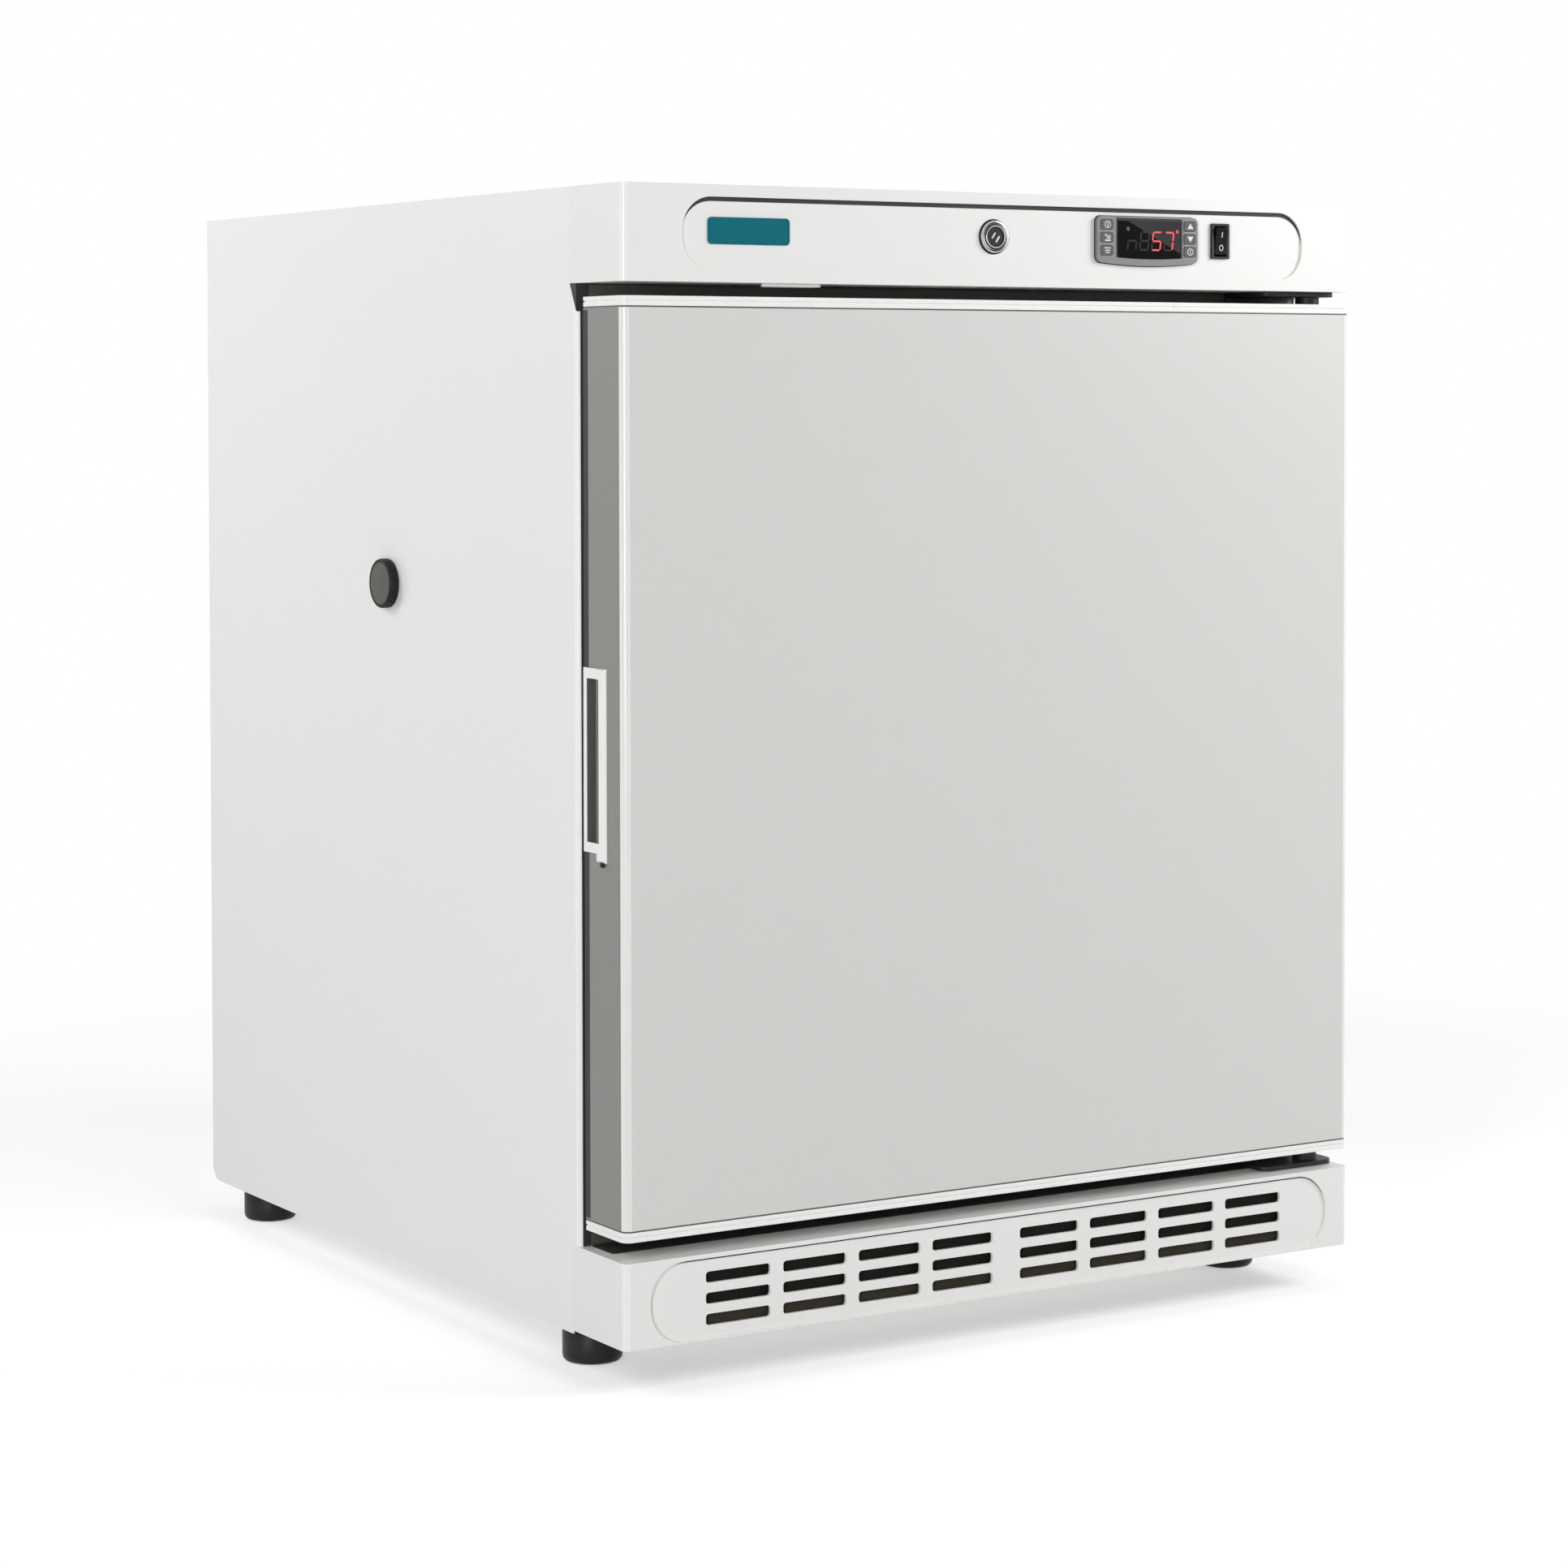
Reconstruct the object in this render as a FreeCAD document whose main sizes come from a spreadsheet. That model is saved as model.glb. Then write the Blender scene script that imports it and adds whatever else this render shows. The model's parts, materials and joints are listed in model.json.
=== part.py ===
import FreeCAD, Part
import math
import os
import Sketcher
from FreeCAD import Placement, Rotation, Vector

# Pharmacy refrigerator: an under-counter cabinet with one right-hung door.
# Millimetres. The origin is on the floor under the middle of the cabinet,
# +X is the viewer's right, the door faces -Y and +Z is up.

DIMENSIONS = {
    # cabinet
    "CabinetWidth": 560,
    "CabinetDepth": 620,
    "BodyHeight": 702,
    "FootHeight": 28,
    "SheetGauge": 1,
    "BaseGauge": 2,
    "WallThickness": 42,
    "FloorInsulation": 50,
    "RoofInsulation": 101,
    "LinerGauge": 1.5,
    "LinerRadius": 14,
    "FaceDepth": 58,
    "PanelProud": 1,
    "PanelDrop": 2,
    "PanelReturn": 8,
    "PanelMitre": 22,
    "PanelFoldRadius": 4,
    "PanelCornerRadius": 11,
    # fascia and lower grille
    "FasciaHeight": 59,
    "FasciaDepth": 65,
    "FasciaWall": 2.5,
    "FasciaFrontWall": 3.5,
    "FasciaCornerRadius": 4.6,
    "MouldingEdgeRadius": 1.5,
    "RecessWidth": 476,
    "RecessHeight": 44.2,
    "RecessRadius": 20,
    "RecessMargin": 7.4,
    "RecessSink": 1.5,
    "RecessGap": 1.5,
    "GrilleHeight": 53,
    "GrilleLipRadius": 6,
    "GrilleRecessWidth": 522.6,
    "GrilleRecessHeight": 49,
    "GrilleRecessMargin": 1.2,
    "GrilleRecessGap": 0.7,
    "GrilleSlotRadius": 2.2,
    "GrilleSlotWidth": 46,
    "GrilleSlotHeight": 7,
    "GrilleSlotPitch": 55.3,
    "GrilleMiddleBar": 21.3,
    "GrilleRowPitch": 13,
    "GrilleLowRow": 12.1,
    # controls
    "BezelWidth": 81,
    "BezelHeight": 30.3,
    "BezelThickness": 4.5,
    "BezelBulge": 2.4,
    "BezelRadius": 3,
    "BezelX": 109.5,
    "ControlsZ": 31.9,
    "WindowWidth": 52.8,
    "WindowHeight": 25.8,
    "WindowX": 1.7,
    "WindowGlass": 1.2,
    "ControllerWidth": 71,
    "ControllerHeight": 25,
    "ControllerLength": 50,
    "KeyWidth": 8.4,
    "KeyHeight": 6.2,
    "KeyPitch": 8.6,
    "KeyProud": 0.9,
    "KeyTravel": 0.8,
    "SwitchX": 169.5,
    "SwitchWidth": 14.6,
    "SwitchHeight": 23.2,
    "SwitchFlange": 1.8,
    "SwitchBodyDepth": 22,
    "RockerWidth": 9.4,
    "RockerHeight": 17.6,
    "LockX": -10.3,
    "LockZ": 31.4,
    "LockFaceDiameter": 20.5,
    "LockCaseDiameter": 17,
    "LockBarrelDiameter": 12.6,
    "LockProud": 3,
    "LockLength": 26,
    "TongueReach": 51,
    "TongueWidth": 9,
    "TongueGauge": 2.5,
    "TongueRoom": 3,
    "SensorX": -152,
    "SensorLength": 32,
    "SensorWidth": 14,
    "SensorHeight": 3.6,
    "SensorSetback": 6,
    # door
    "DoorGapAbove": 8.5,
    "DoorGapBelow": 12.5,
    "DoorThickness": 48,
    "DoorEdgeRadius": 6,
    "CapHeight": 6,
    "CapWall": 3,
    "CapGroove": 0.9,
    "CapSpigot": 12,
    "HingeInset": 18,
    "HingeDepth": 24,
    "PinDiameter": 8,
    "PinReach": 12,
    "BushDiameter": 16,
    "HingeGauge": 3.2,
    "HingeReach": 44,
    "HingeFlange": 22,
    "HingeFlangeGauge": 2.6,
    "GasketInset": 18.5,
    "GasketWidth": 14,
    "GasketGap": 0.3,
    "DykeInset": 12,
    "DykeHeight": 28,
    "DykeWidth": 34,
    "HandleZ": 353.8,
    "HandleLength": 112.5,
    "HandleWidth": 27,
    "HandleDepth": 20,
    "HandleProud": 1.6,
    "HandleBarWidth": 11,
    "HandleBarProud": 4,
    "HandleBarDrop": 5,
    "PocketLength": 99.5,
    "PocketWidth": 11,
    "PocketSink": 24,
    "PocketWall": 2,
    # left side port
    "PortY": 9,
    "PortZ": 449.7,
    "PortDiameter": 33,
    "PortProud": 7,
    "PortBore": 24,
    "SleeveWall": 2,
    # feet
    "FootDiameter": 38,
    "FootNeckDiameter": 33,
    "FootEdgeRadius": 5,
    "FootInset": 30,
    "FrontFootDepth": 95,
    "RearFootSetback": 35,
    "StudDiameter": 10,
    "StudLength": 22,
    # inside
    "ShelfWire": 5,
    "ShelfCrossWire": 3,
    "ShelfClearance": 4,
    "ShelfRail": 9,
    "ShelfRailHeight": 5,
    "ShelfWires": 17,
    "LowerShelfZ": 150,
    "MiddleShelfZ": 268,
    "UpperShelfZ": 430,
    "DuctWidth": 340,
    "DuctDepth": 60,
    "DuctHeadroom": 27,
    "DuctWall": 2,
    "DuctRadius": 8,
    "DuctSlots": 9,
    "DuctSlotWidth": 24,
    "DuctSlotHeight": 42,
    "DuctSlotPitch": 34,
    "DuctSlotRise": 18,
    "DuctFanX": 95,
    "DuctFanDrop": 102.5,
    "FanShaft": 6,
    "BladeGap": 1.6,
    "RoomFanDiameter": 84,
    "RoomFanOpening": 92,
    "RoomFanHub": 26,
    "RoomBladeDepth": 16,
    "RoomMotorDiameter": 38,
    "RoomMotorLength": 24,
    "EvaporatorSide": 22,
    "EvaporatorEnd": 24,
    "EvaporatorRise": 92,
    "EvaporatorFins": 18,
    "LampLength": 180,
    "LampDepth": 12,
    "LampSetback": 40,
    "LampWidth": 26,
    "StrutWidth": 12,
    "StrutGauge": 3,
    "EvaporatorFrontRoom": 12,
    "EvaporatorBackRoom": 6,
    "EvaporatorHeadroom": 14,
    "ProbeOffset": 12,
    "ProbeLength": 40,
    "ProbeDiameter": 6,
    "ProbeRise": 150,
    # machine compartment
    "MachineDepth": 200,
    "MachineHeight": 217,
    "CompressorX": 150,
    "CompressorSetback": 104,
    "CompressorFootGauge": 3,
    "CompressorDiameter": 140,
    "CompressorHeight": 152,
    "GrommetHeight": 12,
    "GrommetDiameter": 22,
    "TrayLength": 156,
    "TrayWidth": 104,
    "TrayDepth": 22,
    "TrayWall": 2,
    "DrainDiameter": 16,
    "DrainOffsetX": 20,
    "DrainOffsetY": 30,
    "CondenserX": -165,
    "CondenserWidth": 180,
    "CondenserHeight": 176,
    "CondenserThickness": 40,
    "CondenserGap": 9,
    "CondenserFins": 26,
    "FanGap": 10,
    "CondenserFanDiameter": 150,
    "CondenserFanHub": 40,
    "CondenserBladeDepth": 20,
    "CondenserMotorDiameter": 58,
    "CondenserMotorLength": 42,
    "DrierDiameter": 19,
    "DrierLength": 90,
    "LiquidPipeInset": 34,
    "LiquidPipeSetback": 59,
    "SuctionPipeInset": 10,
    "SuctionPipeOffset": 27,
    "PipeDiameter": 8,
    "PipeBend": 12,
    "Clearance": 0.3,
    "RunningFit": 0.1,
}


class Size:
    """A length that keeps its formula over the sheet beside the number that it gives."""

    def __init__(self, text, value):
        self.text = text
        self.value = float(value)

    def joined(self, sign, other, value):
        return Size(f"({self.text} {sign} {formula(other)})", value)

    def __add__(self, other):
        return self.joined("+", other, self.value + number(other))

    def __sub__(self, other):
        return self.joined("-", other, self.value - number(other))

    def __mul__(self, other):
        return self.joined("*", other, self.value * number(other))

    def __truediv__(self, other):
        return self.joined("/", other, self.value / number(other))

    def __neg__(self):
        return Size(f"(0 - {self.text})", -self.value)

    def __radd__(self, other):
        return Size(repr(other), other) + self

    def __rsub__(self, other):
        return Size(repr(other), other) - self

    def __rmul__(self, other):
        return self * other


def number(size):
    """The present number of a size or of a plain number."""
    return size.value if isinstance(size, Size) else float(size)


def formula(size):
    """The text of a size or of a plain number, for an expression."""
    return size.text if isinstance(size, Size) else repr(float(size))


class Sheet:
    """The spreadsheet of driving dimensions, each read by its own name."""

    def __init__(self, document, dimensions):
        self.sheet = document.addObject("Spreadsheet::Sheet", "Sizes")
        for row, (alias, value) in enumerate(dimensions.items(), 1):
            self.sheet.set(f"A{row}", alias)
            self.sheet.set(f"B{row}", str(value))
            self.sheet.setAlias(f"B{row}", alias)
        document.recompute()

    def __getattr__(self, alias):
        return Size(f"Sizes.{alias}", self.sheet.get(alias))


doc = FreeCAD.newDocument("PharmacyRefrigerator")
d = Sheet(doc, DIMENSIONS)
subparts = {}

X, Y, Z = Vector(1, 0, 0), Vector(0, 1, 0), Vector(0, 0, 1)
TURN = {"x": Rotation(Y, 90), "y": Rotation(X, -90), "z": Rotation()}
MARGIN = 5
WIRE_SIDES = 8
SEAT = 0.2
WELD = 1
BLADE_PITCH = 26


def keep(label, shape_object):
    """Give a finished sub-part its label and put it on the list of pieces."""
    shape_object.Label = label
    subparts[label] = shape_object
    return shape_object


def bind(thing, name, size):
    """Bind a property to the formula of its size."""
    thing.setExpression(name, formula(size))


def box(x, y, z, name="Block"):
    """A block that fills three spans, each given by its low and high end."""
    block = doc.addObject("Part::Box", name)
    for axis, side, (low, high) in zip("xyz", ("Length", "Width", "Height"), (x, y, z)):
        bind(block, side, high - low)
        bind(block, f".Placement.Base.{axis}", low)
    return block


def move(thing, x, y, z):
    """Bind the place of a piece."""
    for axis, place in zip("xyz", (x, y, z)):
        bind(thing, f".Placement.Base.{axis}", place)
    return thing


def rod(diameter, along, span, centre, name="Rod"):
    """A cylinder along an axis, from the low to the high end of its span."""
    low, high = span
    bar = doc.addObject("Part::Cylinder", name)
    bar.Placement = Placement(Vector(), TURN[along])
    bind(bar, "Radius", diameter / 2)
    bind(bar, "Height", high - low)
    place = list(centre)
    place.insert("xyz".index(along), low)
    return move(bar, *place)


def wire(diameter, along, span, centre):
    """A drawn wire, kept eight-sided, with two flats level."""
    low, high = span
    bar = doc.addObject("Part::Prism", "Wire")
    bar.Polygon = WIRE_SIDES
    bar.Placement = Placement(Vector(), TURN[along] * Rotation(Z, 180 / WIRE_SIDES))
    bind(bar, "Circumradius", diameter / (2 * math.cos(math.pi / WIRE_SIDES)))
    bind(bar, "Height", high - low)
    place = list(centre)
    place.insert("xyz".index(along), low)
    return move(bar, *place)


def taper(low_diameter, high_diameter, along, span, centre, name="Taper"):
    """A cone frustum along an axis."""
    low, high = span
    cone = doc.addObject("Part::Cone", name)
    cone.Placement = Placement(Vector(), TURN[along])
    bind(cone, "Radius1", low_diameter / 2)
    bind(cone, "Radius2", high_diameter / 2)
    bind(cone, "Height", high - low)
    place = list(centre)
    place.insert("xyz".index(along), low)
    return move(cone, *place)


def fuse(*shapes, name="Joined"):
    """Join several solids into one."""
    joined = doc.addObject("Part::MultiFuse", name)
    joined.Shapes = list(shapes)
    return joined


def group(*shapes, name="Group"):
    """Keep several separate solids together in one piece of the list."""
    together = doc.addObject("Part::Compound", name)
    together.Links = list(shapes)
    return together


def cut(base, *tools, name="Cut"):
    """Take one or more solids out of another."""
    result = doc.addObject("Part::Cut", name)
    result.Base = base
    result.Tool = tools[0] if len(tools) == 1 else fuse(*tools)
    return result


def edges_at(shape, along, *sides):
    """Numbers of the edges that run along an axis, or the full rings, on the named sides of the shape."""
    whole = shape.BoundBox
    found = []
    for count, edge in enumerate(shape.Edges, 1):
        ends = edge.BoundBox
        spans = {"x": ends.XLength, "y": ends.YLength, "z": ends.ZLength}
        if along == "ring":
            if edge.isClosed() and all(abs(getattr(ends, side) - getattr(whole, side)) < 0.01 for side in sides):
                found.append(count)
            continue
        run = spans.pop(along)
        on_sides = all(abs(getattr(ends, side) - getattr(whole, side)) < 0.01 for side in sides)
        if run > 0.01 and max(spans.values()) < 0.01 and on_sides:
            found.append(count)
    return found


def soften(base, radius, *runs, name="Softened"):
    """Round the edges that run along an axis on given sides; each run is (axis, side, ...)."""
    doc.recompute()
    rounded = doc.addObject("Part::Fillet", name)
    rounded.Base = base
    picked = sorted({count for run in runs for count in edges_at(base.Shape, *run)})
    rounded.Edges = [(count, number(radius), number(radius)) for count in picked]
    return rounded


def bevel(base, length, *runs, name="Bevelled"):
    """Bevel the edges that run along an axis, or the full rings, on given sides."""
    doc.recompute()
    edge_cut = doc.addObject("Part::Chamfer", name)
    edge_cut.Base = base
    picked = sorted({count for run in runs for count in edges_at(base.Shape, *run)})
    edge_cut.Edges = [(count, number(length), number(length)) for count in picked]
    return edge_cut


def body(label):
    return keep(label, doc.addObject("PartDesign::Body", "Body"))


def plane(owner, role):
    return next(item for item in owner.Origin.OriginFeatures if item.Role == role)


def drawing(owner, role, offset=0):
    """A sketch on one of the body's own planes, lifted along that plane's normal."""
    sketch = owner.newObject("Sketcher::SketchObject", "Sketch")
    sketch.AttachmentSupport = [(plane(owner, role), "")]
    sketch.MapMode = "FlatFace"
    bind(sketch, ".AttachmentOffset.Base.z", offset)
    return sketch


def fix(sketch, kind, *places, size):
    """Add a driving constraint and bind it."""
    index = sketch.addConstraint(Sketcher.Constraint(kind, *places, number(size)))
    bind(sketch, f"Constraints[{index}]", size)


def outline(sketch, points):
    """A closed outline of straight runs through points, each tied to the sheet."""
    count = len(points)
    spots = [Vector(number(u), number(v), 0) for u, v in points]
    first = sketch.GeometryCount
    for i in range(count):
        sketch.addGeometry(Part.LineSegment(spots[i], spots[(i + 1) % count]), False)
    for i in range(count):
        sketch.addConstraint(Sketcher.Constraint("Coincident", first + i, 2, first + (i + 1) % count, 1))
    for i, (u, v) in enumerate(points):
        fix(sketch, "DistanceX", -1, 1, first + i, 1, size=u)
        fix(sketch, "DistanceY", -1, 1, first + i, 1, size=v)


def rectangle(sketch, u, v):
    """A rectangle over two spans."""
    outline(sketch, [(u[0], v[0]), (u[1], v[0]), (u[1], v[1]), (u[0], v[1])])


def circle(sketch, centre, diameter):
    """A full circle."""
    u, v = centre
    ring = sketch.addGeometry(Part.Circle(Vector(number(u), number(v), 0), Z, number(diameter) / 2), False)
    fix(sketch, "Diameter", ring, size=diameter)
    fix(sketch, "DistanceX", -1, 1, ring, 3, size=u)
    fix(sketch, "DistanceY", -1, 1, ring, 3, size=v)


def soft_rectangle(sketch, u, v, radius):
    """A rectangle over two spans with round corners."""
    (left_u, right_u), (low_v, high_v) = u, v
    a, b, low, high, r = (number(item) for item in (left_u, right_u, low_v, high_v, radius))
    corners = [(b - r, low + r, -90), (b - r, high - r, 0), (a + r, high - r, 90), (a + r, low + r, 180)]
    runs = [((a + r, low), (b - r, low)), ((b, low + r), (b, high - r)),
            ((b - r, high), (a + r, high)), ((a, high - r), (a, low + r))]
    first = sketch.GeometryCount
    for run, (u0, v0, start) in zip(runs, corners):
        ends = [Vector(*end, 0) for end in run]
        sketch.addGeometry(Part.LineSegment(*ends), False)
        ring = Part.Circle(Vector(u0, v0, 0), Z, r)
        arc = Part.ArcOfCircle(ring, math.radians(start), math.radians(start + 90))
        sketch.addGeometry(arc, False)
    for i in range(4):
        line, arc, after = first + 2 * i, first + 2 * i + 1, first + (2 * i + 2) % 8
        sketch.addConstraint(Sketcher.Constraint("Tangent", line, 2, arc, 1))
        sketch.addConstraint(Sketcher.Constraint("Tangent", arc, 2, after, 1))
        sketch.addConstraint(Sketcher.Constraint(("Horizontal", "Vertical")[i % 2], line))
        if i:
            sketch.addConstraint(Sketcher.Constraint("Equal", first + 1, arc))
    fix(sketch, "Radius", first + 1, size=radius)
    fix(sketch, "DistanceY", -1, 1, first, 1, size=low_v)
    fix(sketch, "DistanceX", -1, 1, first + 2, 1, size=right_u)
    fix(sketch, "DistanceY", -1, 1, first + 4, 1, size=high_v)
    fix(sketch, "DistanceX", -1, 1, first + 6, 1, size=left_u)


def feature(owner, kind, sketch, length=None, back=False):
    """A pad or pocket of a sketch, with its length bound."""
    step = owner.newObject(f"PartDesign::{kind}", kind)
    step.Profile = sketch
    step.Reversed = back
    if length is not None:
        bind(step, "Length", length)
    return step


def dress(owner, kind, radius, *runs):
    """Round or bevel the body's edges that run along an axis on given sides."""
    doc.recompute()
    last = owner.Tip
    picked = sorted({count for run in runs for count in edges_at(last.Shape, *run)})
    step = owner.newObject(f"PartDesign::{kind}", kind)
    step.Base = (last, [f"Edge{count}" for count in picked])
    bind(step, "Radius" if kind == "Fillet" else "Size", radius)
    return step


def turned(owner, sketch):
    """Revolve a profile about the sketch's upright axis."""
    step = owner.newObject("PartDesign::Revolution", "Revolution")
    step.Profile = sketch
    step.ReferenceAxis = (sketch, ["V_Axis"])
    step.Angle = 360
    return step


def pattern(owner, axis, length, copies):
    """A straight row of copies along one of the body's own axes."""
    row = owner.newObject("PartDesign::LinearPattern", "Row")
    row.Direction = (plane(owner, axis), [""])
    bind(row, "Length", length)
    row.Occurrences = copies
    return row


def bent_path(points, bend):
    """Straight runs through points, with a tangent arc at each corner."""
    spots = [Vector(*(number(value) for value in point)) for point in points]
    radius = number(bend)
    edges, start = [], spots[0]
    for before, corner, after in zip(spots, spots[1:], spots[2:]):
        inward, outward = (before - corner).normalize(), (after - corner).normalize()
        half = inward.getAngle(outward) / 2
        reach = radius / math.tan(half)
        begin, end = corner + inward * reach, corner + outward * reach
        bisector = (inward + outward).normalize()
        middle = corner + bisector * (radius / math.sin(half) - radius)
        edges += [Part.LineSegment(start, begin).toShape(), Part.Arc(begin, middle, end).toShape()]
        start = end
    edges.append(Part.LineSegment(start, spots[-1]).toShape())
    return Part.Wire(edges)


def pipe(points, diameter, bend, name="Pipe"):
    """A round rod swept along a bent path."""
    path = bent_path(points, bend)
    first = path.Edges[0]
    start = first.valueAt(first.FirstParameter)
    facing = Rotation(Z, first.tangentAt(first.FirstParameter))
    reach = number(diameter) / 2
    corners = [start + facing.multVec(Vector(reach, 0, 0)) for facing in
               [facing * Rotation(Z, 360 * (i + 0.5) / WIRE_SIDES) for i in range(WIRE_SIDES)]]
    ring = Part.makePolygon(corners + corners[:1])
    swept = doc.addObject("Part::Feature", name)
    swept.Shape = path.makePipe(Part.Face(Part.Wire(ring)))
    return swept


# Levels and faces that several pieces share, worked out from the sizes above.
half = d.CabinetWidth / 2
left, right = -half, half
front, back = -d.CabinetDepth / 2, d.CabinetDepth / 2
underside, top = d.FootHeight, d.FootHeight + d.BodyHeight
face = front + d.FaceDepth
seam = front + d.FasciaDepth
inside_half = half - d.SheetGauge
grille_top = underside + d.GrilleHeight
fascia_low = top - d.FasciaHeight
door_low, door_high = grille_top + d.DoorGapBelow, fascia_low - d.DoorGapAbove
door_back = front + d.DoorThickness
floor_top = underside + d.BaseGauge
back_inner = back - d.SheetGauge
cavity_half = half - d.WallThickness
cavity_low, cavity_high = grille_top + d.FloorInsulation, top - d.RoofInsulation
cavity_back = back - d.WallThickness
machine_front = back_inner - d.MachineDepth
machine_top = underside + d.MachineHeight
step_front, step_top = machine_front - d.WallThickness, machine_top + d.WallThickness
liner_half = cavity_half - d.LinerGauge
liner_low, liner_high = cavity_low + d.LinerGauge, cavity_high - d.LinerGauge
liner_back = cavity_back - d.LinerGauge
liner_step = step_top + d.LinerGauge
port_z = underside + d.PortZ
recess_low = fascia_low + d.RecessMargin
recess_face = front + d.RecessSink
controls_z = fascia_low + d.ControlsZ
lock_z = fascia_low + d.LockZ
hinge_x, hinge_y = right - d.HingeInset, front + d.HingeDepth
tongue_y = front + d.LockLength
compressor_y = back_inner - d.CompressorSetback
evaporator_low = liner_step + d.EvaporatorRise
pipe_x, pipe_y = d.EvaporatorEnd - d.LiquidPipeInset, back_inner - d.LiquidPipeSetback
suction_x, suction_y = d.EvaporatorEnd - d.SuctionPipeInset, compressor_y + d.SuctionPipeOffset
drain_x, drain_y = d.CompressorX - d.DrainOffsetX, compressor_y + d.DrainOffsetY


def across(side, inner, outer):
    """A span in X on the left (-1) or right (1), given by two distances from the middle."""
    return (-outer, -inner) if side < 0 else (inner, outer)


def side_panel(label, side):
    """A painted sheet with its front edge folded round, notched for the two mouldings."""
    outer_side = "XMin" if side < 0 else "XMax"
    panel = box(across(side, half - d.PanelReturn, half), (face - d.PanelProud, back),
                (underside - d.PanelDrop, top))
    panel = soften(panel, d.PanelFoldRadius, ("z", outer_side, "YMin"))
    panel = soften(panel, d.PanelCornerRadius, ("x", "YMax", "ZMin"))
    hollow = box(across(side, half - d.PanelReturn - MARGIN, half - d.SheetGauge),
                 (face - d.PanelProud + d.SheetGauge, back + MARGIN),
                 (underside - d.PanelDrop - MARGIN, top + MARGIN))
    hollow = soften(hollow, d.PanelFoldRadius - d.SheetGauge, ("z", outer_side, "YMin"))
    notches = [box(across(side, half - d.PanelReturn - MARGIN, half + MARGIN), (front, seam), span)
               for span in ((fascia_low, top + MARGIN), (underside - d.PanelDrop - MARGIN, grille_top))]
    corner = doc.addObject("PartDesign::Body", "CornerCut")
    triangle = drawing(corner, "XZ_Plane", -(face - d.PanelProud + d.SheetGauge))
    fold = side * (half - d.PanelReturn)
    outline(triangle, [(fold, fascia_low - d.PanelMitre), (side * half, fascia_low), (fold, fascia_low)])
    feature(corner, "Pad", triangle, d.SheetGauge + MARGIN)
    tools = [hollow, corner, *notches]
    if side < 0:
        tools.append(rod(d.PortBore + 2 * d.SleeveWall + 2 * d.Clearance, "x", (left - MARGIN, left + MARGIN),
                         (d.PortY, port_z)))
    return keep(label, cut(panel, *tools))


def cavity(shrink, front_end):
    """The refrigerated space with its step over the machinery, shrunk by a wall on every side."""
    wide = (-(cavity_half - shrink), cavity_half - shrink)
    upper = box(wide, (front_end, cavity_back - shrink), (step_top + shrink, cavity_high - shrink))
    lower = box(wide, (front_end, step_front - shrink), (cavity_low + shrink, step_top + shrink + MARGIN))
    space = doc.addObject("Part::MultiFuse", "Space")
    space.Shapes = [upper, lower]
    space.Refine = True
    corners = [("y", side, level) for side in ("XMin", "XMax") for level in ("ZMin", "ZMax")]
    return soften(space, d.LinerRadius - shrink, *corners)


def wall_passages(clear):
    """Round holes through the insulation for the port, the drain and the two pipes."""
    below, above = machine_top - MARGIN, liner_step + MARGIN
    return [rod(d.PortBore + 2 * d.SleeveWall + clear, "x", (left - MARGIN, -liner_half + MARGIN), (d.PortY, port_z)),
            rod(d.DrainDiameter + clear, "z", (below, above), (drain_x, drain_y)),
            rod(d.PipeDiameter + clear, "z", (below, above), (pipe_x, pipe_y)),
            rod(d.PipeDiameter + clear, "z", (below, above), (suction_x, suction_y))]


def cabinet():
    """The insulated box: outer sheets, foam, liner and the dark frame round the opening."""
    side_panel("left_side_panel", -1)
    side_panel("right_side_panel", 1)
    wide = (-inside_half, inside_half)
    keep("top_panel", box(wide, (seam, back), (top - d.SheetGauge, top)))
    keep("back_panel", box(wide, (back_inner, back), (machine_top, top - d.SheetGauge)))
    block = box(wide, (seam, back_inner), (grille_top, top - d.SheetGauge))
    machine = box((-half, half), (machine_front, back), (underside, machine_top))
    holes = wall_passages(2 * d.Clearance)
    keep("insulation_foam", cut(block, machine, cavity(0, seam - MARGIN), *holes))
    rails = []
    for level in (d.LowerShelfZ, d.MiddleShelfZ, d.UpperShelfZ):
        depth = step_front if number(level) < number(step_top - grille_top) else cavity_back - d.DuctDepth
        for side in (-1, 1):
            rails.append(box(across(side, liner_half - d.ShelfRail, liner_half + d.LinerGauge / 2),
                             (seam + 3 * d.LinerRadius, depth - 2 * d.LinerRadius),
                             (grille_top + level - d.ShelfRailHeight, grille_top + level)))
    shell = cut(cavity(0, seam), cavity(d.LinerGauge, seam - MARGIN))
    keep("inner_liner", cut(fuse(shell, *rails), *wall_passages(2 * d.Clearance)))
    ring = box(wide, (face, seam), (grille_top, fascia_low))
    ring = soften(ring, d.PanelFoldRadius - d.SheetGauge, ("z", "XMin", "YMin"), ("z", "XMax", "YMin"))
    opening = box((-liner_half, liner_half), (face - MARGIN, seam + MARGIN), (liner_low, liner_high))
    corners = [("y", side, level) for side in ("XMin", "XMax") for level in ("ZMin", "ZMax")]
    keep("front_frame", cut(ring, soften(opening, d.LinerRadius - d.LinerGauge, *corners)))


def foot_places():
    """The middle of each foot, by name."""
    return {f"{end}_{name}_foot": (side * (half - d.FootInset), y)
            for end, y in (("front", front + d.FrontFootDepth), ("rear", back - d.RearFootSetback))
            for name, side in (("left", -1), ("right", 1))}


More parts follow.
